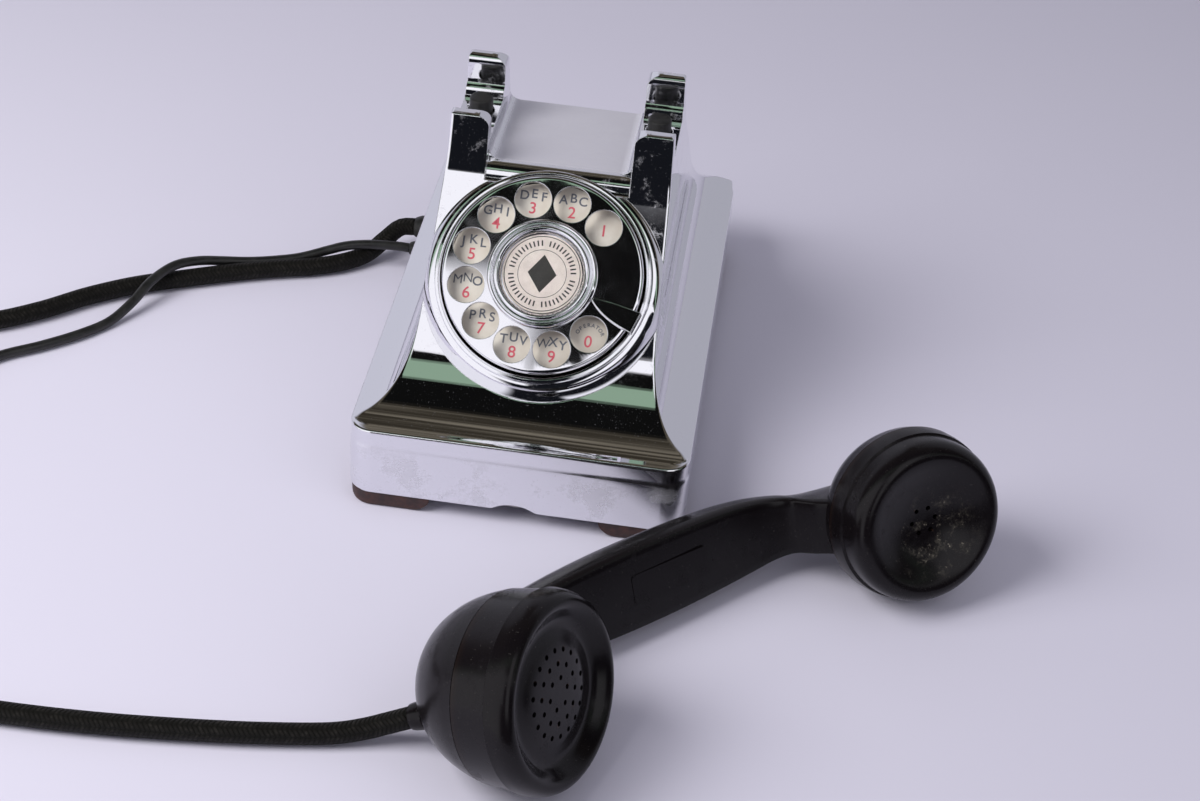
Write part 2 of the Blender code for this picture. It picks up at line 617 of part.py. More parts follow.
# ---- ringer and network -------------------------------------------------------------
def make_ringer():
    box("ringer_frame", (-24, 2, 8.5), (24, 43, 10.2), finish=STEEL)
    box("ringer_magnet", (-18, 2.5, 10.5), (18, 7.2, 30), finish=STEEL)
    back = Matrix.Rotation(-pi / 2, 4, "X")
    for hand, side in (("left", -1), ("right", 1)):
        local = Matrix.Translation((side * 10.5 * MM, 0, 21 * MM)) @ back
        cylinder(f"ringer_coil_{hand}", 8.5, 7.5, 33.0, local=local, finish=COPPER, steps=20)
        dome = [(3.4, 27.0), (14, 26.0), (21, 22.0), (24, 15.0), (22.9, 15.0), (20, 20.8),
                (13.5, 24.7), (3.4, 25.7)]
        spot = Matrix.Translation((side * 27.0 * MM, 62 * MM, 0))
        turned(f"gong_{hand}", dome, local=spot, finish=BRASS, steps=24, ring=True)
        turned(f"gong_post_{hand}", [(0, 29), (3.0, 29), (3.0, 8.5), (0, 8.5)], local=spot,
               finish=STEEL, steps=12)
    pivot_y = 39.5
    pivot = Matrix.Translation((0, pivot_y * MM, 0))
    clapper = box("clapper", (-18, 35.0, 14), (18, 36.6, 28), finish=STEEL)
    combine(clapper, box("clapper_arm", (-2, 36.0, 18), (2, 60.5, 20.5), cutter=True), "UNION")
    ball = turned("clapper_ball", [(0, 21.2), (1.9, 20.6), (1.9, 18.0), (0, 17.3)], steps=12,
                  local=Matrix.Translation((0, 61.0 * MM, 0)), cutter=True)
    combine(clapper, ball, "UNION")
    combine(clapper, cylinder("clapper_hub", 3.2, 16, 24, local=pivot, steps=16, cutter=True),
            "UNION")
    combine(clapper, cylinder("clapper_bore", 1.5, 10, 30, local=pivot, steps=12, cutter=True),
            "DIFFERENCE")
    cylinder("clapper_pin", 1.3, 10.5, 27, local=pivot, finish=STEEL, steps=12)


def make_network():
    along = Matrix.Translation((-40 * MM, 0, 21 * MM)) @ Matrix.Rotation(-pi / 2, 4, "X")
    spool = [(4, -34), (11, -34), (11, -31.5), (8.5, -31.5), (8.5, 6.5), (11, 6.5), (11, 9), (4, 9)]
    turned("induction_coil", list(reversed(spool)), local=along, finish=COPPER, steps=24, ring=True)
    box("condenser", (30, -34, 8.5), (55, 14, 32), finish=STEEL)
    box("terminal_strip", (-55, 15, 8.5), (-30, 33, 17), finish=BLACK)


# ---- handset ------------------------------------------------------------------------
HANDLE_STATIONS = (
    # along, half width, inner face, back
    (-6.0, 8.0, -30.0, -52.0),
    (12.0, 12.2, -41.0, -61.0),
    (30.0, 13.6, -43.9, -65.5),
    (55.0, 14.7, -44.4, -67.5),
    (80.0, 14.7, -44.9, -67.5),
    (100.0, 14.0, -45.6, -66.5),
    (113.0, 13.0, -45.6, -64.5),
    (122.0, 11.7, -44.6, -62.5),
    (129.0, 10.6, -41.0, -60.5),
    (134.0, 10.2, -32.0, -58.5),
    (142.0, 10.0, -24.0, -56.0),
    (156.0, 9.0, -28.0, -52.0),
)


def handle_section(along, half_width, inner, back):
    """Flat inner face, crisp edges, slightly swelling sides and a rounded back."""
    deep = inner - back
    half = [(half_width - 0.8, inner), (half_width, inner - 0.8)]
    for share in (0.25, 0.45, 0.65, 0.82, 0.94):
        bulge = (1 - share ** 2.6) ** 0.5
        half.append((half_width * 1.05 * bulge, inner - deep * share))
    ring = [(0.0, inner)] + half + [(0.0, back)] + [(-y, z) for y, z in reversed(half)]
    return [Vector((along * MM, y * MM, z * MM)) for y, z in ring]


def loft(name, sections, parent, finish):
    work = bmesh.new()
    rings = [[work.verts.new(p) for p in section] for section in sections]
    for ring, after in zip(rings, rings[1:]):
        for i in range(len(ring)):
            j = (i + 1) % len(ring)
            work.faces.new((ring[i], ring[j], after[j], after[i]))
    work.faces.new(rings[0])
    work.faces.new(rings[-1])
    bmesh.ops.recalc_face_normals(work, faces=work.faces)
    bmesh.ops.triangulate(work, faces=work.faces)
    mesh = bpy.data.meshes.new(name)
    work.to_mesh(mesh)
    work.free()
    shade(mesh, 45)
    return place(bpy.data.objects.new(name, mesh), parent, None, finish)


MOUTH_BOWL = ((31.9, MOUTH_SEAM - GAP / 2), (30.0, -27.5), (26.8, -34.5), (21.5, -41.5),
              (14.0, -47.0), (6.0, -49.5), (0, -50.0))
EAR_BOWL = ((31.5, EAR_SEAM - GAP / 2), (29.8, -25.0), (26.0, -31.5), (20.5, -38.0),
            (13.0, -43.0), (6.0, -45.5), (0, -46.0))


def bowl(name, outer, neck_radius, neck_top, parent):
    """Bowl behind a cap, solid, with the threaded neck that the cap screws onto."""
    seam = outer[0][1]
    profile = [(0, neck_top), (neck_radius, neck_top), (neck_radius, seam), *outer]
    return turned(name, profile, parent, steps=32, cutter=True)


def make_handle():
    sections = [handle_section(*station) for station in HANDLE_STATIONS]
    handle = loft("handset_handle", sections, HANDSET, BLACK)
    combine(handle, bowl("mouth_bowl", MOUTH_BOWL, 28.2, -15.0, MOUTH), "UNION")
    combine(handle, bowl("ear_bowl", EAR_BOWL, 27.7, -14.0, EAR), "UNION")
    combine(handle, turned("mouth_hollow", [(0, 0), (25.6, 0), (25.6, -22), (22.5, -34), (12, -42),
                                            (0, -44)], MOUTH, steps=24, cutter=True), "DIFFERENCE")
    combine(handle, turned("ear_hollow", [(0, 0), (25.2, 0), (25.2, -22), (21, -33), (10, -39),
                                          (0, -40)], EAR, steps=24, cutter=True), "DIFFERENCE")
    combine(handle, cylinder("sleeve_hole", 4.0, -14, 6, DESK, sleeve_frame(), steps=16,
                             cutter=True), "DIFFERENCE")


def sleeve_frame():
    """Frame of the handset cord's sleeve, with Z out of the bowl."""
    return axes_matrix((0, 0, 1), SLEEVE_OUT, SLEEVE_PLACE)


SLEEVE_PLACE = (-8.6, -219.6, 14.6)
SLEEVE_OUT = (-0.90, 0.06, -0.42)


def cap(name, outer, inner, parent, holes):
    """A screw cap: outer and inner profiles close into one turned shell."""
    shell = turned(name, [*outer, *inner], parent, None, BLACK, 32)
    drills = None
    for i, (x, y, radius) in enumerate(holes):
        drill = cylinder(f"{name}_drill_{i}", radius, -14, 6, parent, None, steps=5, cutter=True)
        drill.location = (x * MM, y * MM, 0)
        if drills is None:
            drills = drill
        else:
            drills.data = joined_mesh(drills, drill)
    combine(shell, drills, "DIFFERENCE")
    return shell


def joined_mesh(first, second):
    """One mesh holding both objects' meshes, in the first object's space."""
    bpy.context.view_layer.update()
    work = bmesh.new()
    work.from_mesh(first.data)
    extra = second.data.copy()
    extra.transform(first.matrix_local.inverted() @ second.matrix_local)
    work.from_mesh(extra)
    mesh = bpy.data.meshes.new(first.name)
    work.to_mesh(mesh)
    work.free()
    bpy.data.objects.remove(second, do_unlink=True)
    return mesh


def ring_of_holes(count, circle_radius, radius, turn=0.0):
    holes = []
    for i in range(count):
        angle = radians(turn + 360 * i / count)
        holes.append((circle_radius * cos(angle), circle_radius * sin(angle), radius))
    return holes


def make_caps():
    mouth_outer = [(0, -0.9), (8, -1.0), (15.0, -1.5), (19.5, -3.2), (24.6, -3.4), (26.0, -1.4),
                   (27.4, 0.6), (29.6, 1.4), (31.8, 0.2), (33.2, -3.0), (33.7, -7.3), (33.0, -7.9),
                   (32.0, MOUTH_SEAM + GAP / 2)]
    mouth_inner = [(28.8, MOUTH_SEAM + GAP / 2), (28.8, -6.0), (24, -6.0), (19, -5.8), (14, -4.2),
                   (0, -3.6)]
    holes = ring_of_holes(18, 14.3, 0.9) + ring_of_holes(12, 9.8, 0.9, 15) \
        + ring_of_holes(6, 5.2, 0.9)
    cap("transmitter_cap", mouth_outer, mouth_inner, MOUTH, holes)
    ear_outer = [(0, -8.2), (6, -7.9), (13, -6.8), (19, -4.6), (22.4, -2.0), (24.0, 0.3),
                 (26.0, 0.9), (28.4, -0.8), (29.8, -5.0), (30.4, -11.8), (31.2, -12.3),
                 (31.6, EAR_SEAM + GAP / 2)]
    ear_inner = [(28.3, EAR_SEAM + GAP / 2), (28.3, -12.5), (24.5, -8.0), (16, -9.6), (0, -11.0)]
    cap("receiver_cap", ear_outer, ear_inner, EAR, ring_of_holes(6, 4.8, 0.9))
    transmitter = [(0, -7.4), (20, -8.0), (24.8, -10), (24.8, -17), (18, -20), (0, -20)]
    turned("transmitter_unit", transmitter, MOUTH, finish=STEEL, steps=28)
    receiver = [(0, -13.2), (23.5, -13.6), (24.4, -15), (24.4, -20), (16, -24), (0, -24)]
    turned("receiver_unit", receiver, EAR, finish=STEEL, steps=28)
    box("transmitter_contacts", (-6, -3, -30), (6, 3, -21), MOUTH, BRASS)
    sleeve = [(0, 7.0), (4.4, 7.0), (4.8, 5.0), (4.8, 1.9), (3.7, 1.9), (3.7, -5), (0, -5)]
    turned("handset_cord_sleeve", sleeve, local=sleeve_frame(), finish=BLACK, steps=20)


# ---- cords --------------------------------------------------------------------------
CORD_OUT = (              # braided cord, from the base to its coil
    (-72.8, 68.0, 13.0), (-78.0, 67.3, 12.1), (-84.0, 62.4, 8.0), (-90.5, 54.6, 4.6),
    (-100.0, 46.6, CORD_Z), (-112.0, 40.6, CORD_Z), (-127.0, 35.6, CORD_Z),
    (-143.0, 29.0, CORD_Z),
    (-160.0, 21.0, CORD_Z), (-179.0, 11.5, CORD_Z), (-196.0, -0.5, CORD_Z),
    (-212.0, -15.0, CORD_Z), (-230.0, -27.0, CORD_Z), (-252.0, -33.5, CORD_Z),
    (-276.0, -39.0, CORD_Z), (-297.0, -52.0, CORD_Z), (-311.0, -75.0, CORD_Z),
    (-317.5, -102.0, CORD_Z), (-320.5, -128.0, CORD_Z), (-322.2, -150.0, CORD_Z))
CORD_BACK = (             # braided cord, from its coil towards the handset
    (-262.0, -219.0, CORD_Z), (-240.0, -225.0, CORD_Z), (-215.0, -230.5, CORD_Z),
    (-190.0, -234.0, CORD_Z), (-165.0, -235.5, CORD_Z), (-140.0, -235.5, CORD_Z),
    (-115.0, -234.3, CORD_Z), (-90.0, -232.0, CORD_Z), (-68.0, -229.3, CORD_Z),
    (-48.0, -226.0, CORD_Z))
CORD_END = (              # last stretch, which the handset carries
    (-47.7, -225.9, CORD_Z), (-38.0, -223.8, 4.4), (-30.0, -221.8, 5.8), (-23.5, -220.3, 7.9),
    (-16.0, -219.3, 11.15))
LINE_OUT = (              # smooth line cord, from the base to its coil
    (-72.0, 54.0, 11.0), (-77.0, 53.7, 11.4), (-84.0, 53.2, 11.3), (-91.0, 52.5, 10.9),
    (-99.0, 51.4, 9.6), (-107.0, 49.2, 7.4), (-117.0, 45.6, 5.0), (-127.0, 42.2, 4.2),
    (-138.0, 38.0, 4.6), (-148.0, 33.2, 6.6), (-157.0, 27.2, 9.2), (-165.0, 19.0, 10.8),
    (-171.5, 8.0, 9.4), (-176.5, -3.0, 5.4),
    (-183.0, -14.0, LINE_Z), (-192.0, -25.0, LINE_Z), (-204.0, -35.5, LINE_Z),
    (-217.0, -45.0, LINE_Z), (-226.5, -57.0, LINE_Z), (-229.0, -69.0, LINE_Z))
LINE_END = (              # from the coil to the plug
    (-240.0, -101.5, LINE_Z), (-232.0, -106.0, 2.5), (-224.0, -110.0, 3.4), (-219.0, -112.5, 4.0))


def make_cords():
    cylinder_profile = [(0, 5.5), (3.9, 5.5), (5.2, 2.6), (5.2, -5), (0, -5)]
    turned("cord_grommet", cylinder_profile, local=sideways(-66.3, 68.0, 13.0), finish=PLASTIC,
           steps=16)
    small = [(0, 5.0), (2.4, 5.0), (3.4, 2.6), (3.4, -5), (0, -5)]
    turned("line_grommet", small, local=sideways(-66.3, 54.0, 11.0), finish=PLASTIC, steps=12)

    spacing = CORD_DIAMETER * 2.6
    first = Vector(CORD_OUT[0])
    tube("handset_cord_out", [first, *smooth_route(CORD_OUT[1:], spacing)], CORD_DIAMETER, BRAID)
    tube("handset_cord_back", smooth_route(CORD_BACK, spacing), CORD_DIAMETER, BRAID)
    tube("handset_cord_end", smooth_route(CORD_END, CORD_DIAMETER), CORD_DIAMETER, BRAID)
    first = Vector(LINE_OUT[0])
    tube("line_cord_out", [first, *smooth_route(LINE_OUT[1:], LINE_DIAMETER * 3)], LINE_DIAMETER,
         PLASTIC)
    tube("line_cord_end", smooth_route(LINE_END, LINE_DIAMETER * 2), LINE_DIAMETER, PLASTIC)
    for name, centre, radius, width, high in (
            ("handset_cord_coil", CORD_COIL_CENTRE, CORD_COIL_RADIUS, 16.0, 15.6),
            ("line_cord_coil", LINE_COIL_CENTRE, LINE_COIL_RADIUS, 15.0, 13.0)):
        low = GAP
        ring = [(radius + width / 2, high - 2), (radius + width / 2, low), (radius - width / 2, low),
                (radius - width / 2, high - 2), (radius - width / 4, high), (radius + width / 4, high)]
        turned(name, ring, local=Matrix.Translation((centre[0] * MM, centre[1] * MM, 0)),
               finish=BRAID if "handset" in name else PLASTIC, steps=24, ring=True)
    start = Vector(LINE_END[-1])
    heading = (start - Vector(LINE_END[-2])).normalized()
    heading.z = 0
    plug_frame = axes_matrix((-heading.y, heading.x, 0), heading, start + heading * GAP)
    plug = plate("line_plug", [[(-5, -3.4), (5, -3.4), (5, 3.4), (-5, 3.4)]], 0, 12, DESK,
                 plug_frame, PLASTIC)
    tab = plate("plug_tab", [[(-1.6, 3.0), (1.6, 3.0), (1.6, 4.6), (-1.6, 4.6)]], 1, 11, DESK,
                plug_frame, cutter=True)
    combine(plug, tab, "UNION")


make_housing()
make_base()
make_dial()
make_hookswitch()
make_ringer()
make_network()
make_handle()
make_caps()
make_cords()
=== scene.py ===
"""Looks of the rotary desk telephone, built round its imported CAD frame.

Lengths are in millimetres in the desk frame until desk() turns them into metres:
X to the telephone's right, Y to its rear and Z up, with X = 0 in the telephone's middle.
"""
import json
from math import cos, pi, radians, sin

import bmesh
import bpy
from mathutils import Matrix, Vector

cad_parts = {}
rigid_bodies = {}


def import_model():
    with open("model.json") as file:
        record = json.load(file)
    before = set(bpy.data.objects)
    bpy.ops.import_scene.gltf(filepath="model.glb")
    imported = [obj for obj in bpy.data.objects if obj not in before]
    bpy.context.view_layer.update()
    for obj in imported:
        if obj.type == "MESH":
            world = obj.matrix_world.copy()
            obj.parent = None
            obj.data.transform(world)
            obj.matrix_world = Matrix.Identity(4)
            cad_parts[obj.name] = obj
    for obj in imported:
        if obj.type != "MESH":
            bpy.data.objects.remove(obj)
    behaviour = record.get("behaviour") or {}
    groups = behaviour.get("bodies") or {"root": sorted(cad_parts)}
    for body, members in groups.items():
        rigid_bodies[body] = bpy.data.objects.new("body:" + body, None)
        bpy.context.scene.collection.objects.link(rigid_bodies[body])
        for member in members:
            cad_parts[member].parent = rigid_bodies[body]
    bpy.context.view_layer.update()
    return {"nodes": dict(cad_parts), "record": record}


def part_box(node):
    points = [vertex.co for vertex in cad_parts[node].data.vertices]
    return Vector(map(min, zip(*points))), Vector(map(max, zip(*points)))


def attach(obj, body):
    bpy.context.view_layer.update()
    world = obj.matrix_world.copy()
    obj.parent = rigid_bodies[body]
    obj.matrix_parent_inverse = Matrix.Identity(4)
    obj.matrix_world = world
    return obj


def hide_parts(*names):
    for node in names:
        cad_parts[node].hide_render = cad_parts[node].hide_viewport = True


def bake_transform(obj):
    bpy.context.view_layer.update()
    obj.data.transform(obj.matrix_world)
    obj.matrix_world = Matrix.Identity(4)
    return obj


for leftover in list(bpy.data.objects):
    bpy.data.objects.remove(leftover, do_unlink=True)
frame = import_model()
NODES = frame["nodes"]
MM = 0.001

# ---- driving dimensions, the same as the CAD's ---------------------------------------
HALF_WIDTH = 63.5
FRONT_Y = -104.0
REAR_Y = 102.0
FOOT_TOP = 6.5
STEP_Z = 27.5
STEP_IN = 0.3
FRONT_DRAFT = 0.9         # how far the skirt's front leans back over its height
DECK_FRONT_Z = 104.7
DECK_REAR_Z = 101.3
DECK_FRONT_Y = -18.2
DECK_REAR_Y = 34.0
HORN_TOP = 128.0
FRONT_HORN_TOP = 123.5
EAR_INNER = 27.4
SEAT_Z = 112.0
HOUSING_WALL = 2.6
PLUNGER_SIDE = 34.4       # each plunger, from the middle
PLUNGER_Y = 5.3
CORD_OUTLET = (-66.5, 68.0, 13.0)
LINE_OUTLET = (-66.5, 54.0, 11.0)

DIAL_CENTRE = (0.0, -55.0, 80.9)
DIAL_TILT = 46.2
WHEEL_RADIUS = 37.5
HOLE_CIRCLE = 28.5
HOLE_RADIUS = 6.8
FIRST_HOLE = 45.0
HOLE_COUNT = 10
PLATE_Z = -5.6
DIAL_BORE = 39.6
CARD_RADIUS = 14.8
CARD_TOP = 0.8
FINGER_STOP_ANGLE = -20.0

HANDSET_PLACE = (34.42, -225.05, 37.54)
HANDSET_ACROSS = (0.7359, 0.6771, -0.0040)
HANDSET_FACE = (0.6310, -0.6840, 0.3670)
CAP_SPACING = 160.0
MOUTH_TILT = 25.3
EAR_TILT = 10.4

CORD_DIAMETER = 7.5
LINE_DIAMETER = 4.0
CORD_Z = CORD_DIAMETER / 2 + 0.3
LINE_Z = LINE_DIAMETER / 2 + 0.3

# ---- frames ---------------------------------------------------------------------------
housing_low, housing_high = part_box("housing")
ORIGIN = Vector(((housing_low.x + housing_high.x) / 2, housing_low.y - FRONT_Y * MM, 0))


def desk(x, y, z):
    """A place in the desk frame, as metres in the row frame."""
    return ORIGIN + Vector((x, y, z)) * MM


def axes_matrix(x_axis, z_axis, place):
    z_axis = Vector(z_axis).normalized()
    x_axis = Vector(x_axis)
    x_axis = (x_axis - z_axis * x_axis.dot(z_axis)).normalized()
    matrix = Matrix((x_axis, z_axis.cross(x_axis), z_axis)).transposed().to_4x4()
    matrix.translation = desk(*place)
    return matrix


DESK = Matrix.Translation(ORIGIN)
tilt = radians(DIAL_TILT)
DIAL = axes_matrix((1, 0, 0), (0, -cos(tilt), sin(tilt)), DIAL_CENTRE)
HANDSET = axes_matrix(HANDSET_ACROSS, HANDSET_FACE, HANDSET_PLACE)
MOUTH = HANDSET @ Matrix.Rotation(radians(MOUTH_TILT), 4, "Y")
EAR = HANDSET @ Matrix.Translation((CAP_SPACING * MM, 0, 0)) \
    @ Matrix.Rotation(-radians(EAR_TILT), 4, "Y")
ALONG_X = Matrix(((0, 0, 1, 0), (1, 0, 0, 0), (0, 1, 0, 0), (0, 0, 0, 1)))
ALONG_Y = Matrix(((1, 0, 0, 0), (0, 0, -1, 0), (0, 1, 0, 0), (0, 0, 0, 1)))

# ---- camera ---------------------------------------------------------------------------
CAMERA_PLACE = (81.74, -722.71, 538.79)
CAMERA_AZIMUTH = 4.86
CAMERA_ELEVATION = 37.42
CAMERA_ROLL = 4.46
CAMERA_LENS = 66.0


def make_camera():
    azimuth = radians(CAMERA_AZIMUTH)
    elevation = radians(CAMERA_ELEVATION)
    roll = radians(CAMERA_ROLL)
    ahead = Vector((-sin(azimuth) * cos(elevation), cos(azimuth) * cos(elevation),
                    -sin(elevation)))
    right = ahead.cross(Vector((0, 0, 1))).normalized()
    up = right.cross(ahead)
    rolled_right = right * cos(roll) + up * sin(roll)
    rolled_up = up * cos(roll) - right * sin(roll)
    camera = bpy.data.objects.new("camera", bpy.data.cameras.new("camera"))
    bpy.context.scene.collection.objects.link(camera)
    camera.matrix_world = Matrix((rolled_right, rolled_up, -ahead)).transposed().to_4x4()
    camera.location = desk(*CAMERA_PLACE)
    camera.data.lens = CAMERA_LENS
    camera.data.sensor_width = 36.0
    camera.data.clip_end = 20.0
    bpy.context.scene.camera = camera


make_camera()


# ---- curves and meshes ----------------------------------------------------------------
def arc(centre, radius, start, stop, count):
    points = []
    for i in range(count + 1):
        angle = radians(start + (stop - start) * i / count)
        points.append((centre[0] + radius * cos(angle), centre[1] + radius * sin(angle)))
    return points


def sweep(first, leave, arrive, last, count=16):
    """A cubic curve from first to last; leave and arrive are its two handles."""
    points = []
    for i in range(count + 1):
        t = i / count
        points.append(tuple(a * (1 - t) ** 3 + 3 * b * t * (1 - t) ** 2
                            + 3 * c * t * t * (1 - t) + d * t ** 3
                            for a, b, c, d in zip(first, leave, arrive, last)))
    return points


def smooth_route(stations, spacing):
    """Evenly spaced points on a smooth curve through the stations."""
    stations = [Vector(p) for p in stations]
    ends = [2 * stations[0] - stations[1], *stations, 2 * stations[-1] - stations[-2]]
    fine = []
    for before, start, stop, after in zip(ends, ends[1:], ends[2:], ends[3:]):
        for i in range(24):
            t = i / 24
            fine.append(0.5 * (2 * start + (stop - before) * t
                               + (2 * before - 5 * start + 4 * stop - after) * t * t
                               + (3 * start - before - 3 * stop + after) * t ** 3))
    fine.append(stations[-1])
    return even(fine, spacing)


def even(fine, spacing):
    total = sum((b - a).length for a, b in zip(fine, fine[1:]))
    count = max(2, round(total / spacing))
    points = [fine[0]]
    walked = 0.0
    for a, b in zip(fine, fine[1:]):
        step = (b - a).length
        while len(points) < count and walked + step >= total * len(points) / count:
            share = (total * len(points) / count - walked) / step
            points.append(a.lerp(b, share))
        walked += step
    points.append(fine[-1])
    return points


def new_object(name, mesh, matrix=None, finish=None):
    obj = bpy.data.objects.new(name, mesh)
    bpy.context.scene.collection.objects.link(obj)
    if matrix is not None:
        obj.data.transform(matrix)
    if finish is not None:
        obj.data.materials.clear()
        obj.data.materials.append(finish)
    return obj


def shade(mesh, angle=30):
    mesh.shade_smooth()
    mesh.set_sharp_from_angle(angle=radians(angle))


def keep_flats_flat(piece):
    """Large flat faces keep their own normal beside the small roundings at their edges."""
    flats = piece.modifiers.new("flats", "WEIGHTED_NORMAL")
    flats.weight = 90
    flats.keep_sharp = True
    return piece


def finished(name, work, matrix=None):
    """The mesh that a bmesh holds, moved into its place."""
    mesh = bpy.data.meshes.new(name)
    work.to_mesh(mesh)
    work.free()
    if matrix is not None:
        mesh.transform(matrix)
    return mesh


def bridge(work, ring, after):
    """Faces from one ring of vertices to the next."""
    for i in range(len(ring)):
        j = (i + 1) % len(ring)
        work.faces.new((ring[i], ring[j], after[j], after[i]))


def loft(name, outlines, matrix, triangles=False):
    """A closed solid through outlines of (x, y, z) that stand one behind the other."""
    work = bmesh.new()
    rings = []
    for outline in outlines:
        rings.append([work.verts.new((x * MM, y * MM, z * MM)) for x, y, z in outline])
    for ring, after in zip(rings, rings[1:]):
        bridge(work, ring, after)
    work.faces.new(rings[0])
    work.faces.new(rings[-1])
    bmesh.ops.recalc_face_normals(work, faces=work.faces)
    if triangles:
        bmesh.ops.triangulate(work, faces=work.faces)
    return finished(name, work, matrix)


def prism(name, outline, low, high, matrix):
    """A flat outline drawn out between two heights of its own Z, as a closed mesh."""
    work = bmesh.new()
    bottom = [work.verts.new((x * MM, y * MM, low * MM)) for x, y in outline]
    top = [work.verts.new((x * MM, y * MM, high * MM)) for x, y in outline]
    work.faces.new(bottom)
    work.faces.new(top)
    bridge(work, bottom, top)
    bmesh.ops.recalc_face_normals(work, faces=work.faces)
    return finished(name, work, matrix)


def turned(name, profile, matrix, steps=96, ring=False):
    """A profile of (radius, height) turned about Z; a ring's profile closes on itself."""
    work = bmesh.new()
    columns = []
    for radius, height in profile:
        if radius < 0.001:
            columns.append([work.verts.new((0, 0, height * MM))] * steps)
            continue
        column = []
        for i in range(steps):
            angle = 2 * pi * i / steps
            column.append(work.verts.new((radius * cos(angle) * MM, radius * sin(angle) * MM,
                                          height * MM)))
        columns.append(column)
    pairs = list(zip(columns, columns[1:]))
    if ring:
        pairs.append((columns[-1], columns[0]))
    for column, after in pairs:
        for i in range(steps):
            j = (i + 1) % steps
            corners = []
            for corner in (column[i], column[j], after[j], after[i]):
                if corner not in corners:
                    corners.append(corner)
            if len(corners) > 2:
                work.faces.new(corners)
    bmesh.ops.recalc_face_normals(work, faces=work.faces)
    return finished(name, work, matrix)


def smooth_profile(points, spacing=0.7):
    """A turned profile's points on a smooth curve through its stations."""
    return [(p.x, p.z) for p in smooth_route([(r, 0, z) for r, z in points], spacing)]


def joined(name, meshes):
    """One mesh that holds several."""
    work = bmesh.new()
    for mesh in meshes:
        work.from_mesh(mesh)
    return finished(name, work)


def carve(mesh, steps):
    """The mesh after each (operation, other mesh) of the steps, in order."""
    target = new_object(mesh.name, mesh)
    others = []
    for operation, other in steps:
        tool = new_object(other.name, other)
        others.append(tool)
        cut = target.modifiers.new(operation, "BOOLEAN")
        cut.operation = operation
        cut.solver = "EXACT"
        cut.object = tool
    bpy.context.view_layer.update()
    evaluated = target.evaluated_get(bpy.context.evaluated_depsgraph_get())
    result = bpy.data.meshes.new_from_object(evaluated)
    result.name = mesh.name
    work = bmesh.new()
    work.from_mesh(result)
    bmesh.ops.remove_doubles(work, verts=work.verts, dist=0.0008 * MM)
    work.to_mesh(result)
    work.free()
    for obj in (target, *others):
        bpy.data.objects.remove(obj, do_unlink=True)
    return result


def ride(piece, body, slot, *nodes):
    """Put a finished piece on its body, in place of its CAD nodes."""
    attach(piece, body)
    if nodes:
        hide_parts(*nodes)
    return piece


def turned_piece(name, profile, matrix, steps, finish, body, slot, ring=False):
    """A turned piece that takes the place of the CAD node it is named after."""
    mesh = turned(name, profile, matrix, steps, ring)
    shade(mesh, 35)
    return ride(new_object(name + "_piece", mesh, None, finish), body, slot, name)


# ---- materials ------------------------------------------------------------------------
def add(tree, kind, inputs=None, **settings):
    """A node with its settings and its inputs, each a value or the socket that feeds it."""
    made = tree.nodes.new(kind)
    for key, value in settings.items():
        setattr(made, key, value)
    for key, value in (inputs or {}).items():
        if isinstance(value, bpy.types.NodeSocket):
            tree.links.new(value, made.inputs[key])
        else:
            made.inputs[key].default_value = value
    return made


def maths(tree, operation, *values):
    """A Math node's result."""
    made = add(tree, "ShaderNodeMath", dict(enumerate(values)), operation=operation)
    return made.outputs[0]


def product(tree, first, *others):
    """Values multiplied together, in order."""
    for value in others:
        first = maths(tree, "MULTIPLY", first, value)
    return first


def span(tree, value, low, high, to_low=0.0, to_high=1.0):
    """A smooth step of a value from one range to another."""
    made = add(tree, "ShaderNodeMapRange",
               {"Value": value, "From Min": low, "From Max": high, "To Min": to_low,
                "To Max": to_high}, interpolation_type="SMOOTHSTEP")
    return made.outputs["Result"]


def noise(tree, where, scale, detail=3.0, roughness=0.5):
    made = add(tree, "ShaderNodeTexNoise", {"Vector": where, "Scale": scale, "Detail": detail,
                                            "Roughness": roughness})
    return made.outputs["Fac"]


def blend_colour(tree, share, first, second):
    made = add(tree, "ShaderNodeMix", data_type="RGBA")
    for key, value in ((0, share), (6, first), (7, second)):
        if isinstance(value, bpy.types.NodeSocket):
            tree.links.new(value, made.inputs[key])
        else:
            made.inputs[key].default_value = value if key == 0 else (*value, 1.0)
    return made.outputs[2]


def bump(tree, height, strength, distance_mm, normal=None):
    inputs = {"Height": height, "Strength": strength, "Distance": distance_mm * MM}
    if normal is not None:
        inputs["Normal"] = normal
    return add(tree, "ShaderNodeBump", inputs).outputs["Normal"]


def new_material(name, **constants):
    """A material, its shader with constant values, and its object coordinates."""
    made = bpy.data.materials.new(name)
    made.use_nodes = True
    tree = made.node_tree
    shader = tree.nodes["Principled BSDF"]
    for key, value in constants.items():
        shader.inputs[key.replace("_", " ")].default_value = value
    where = add(tree, "ShaderNodeTexCoord").outputs["Object"]
    return made, tree, shader, where


def feed(tree, shader, **sockets):
    for key, value in sockets.items():
        tree.links.new(value, shader.inputs[key.replace("_", " ")])


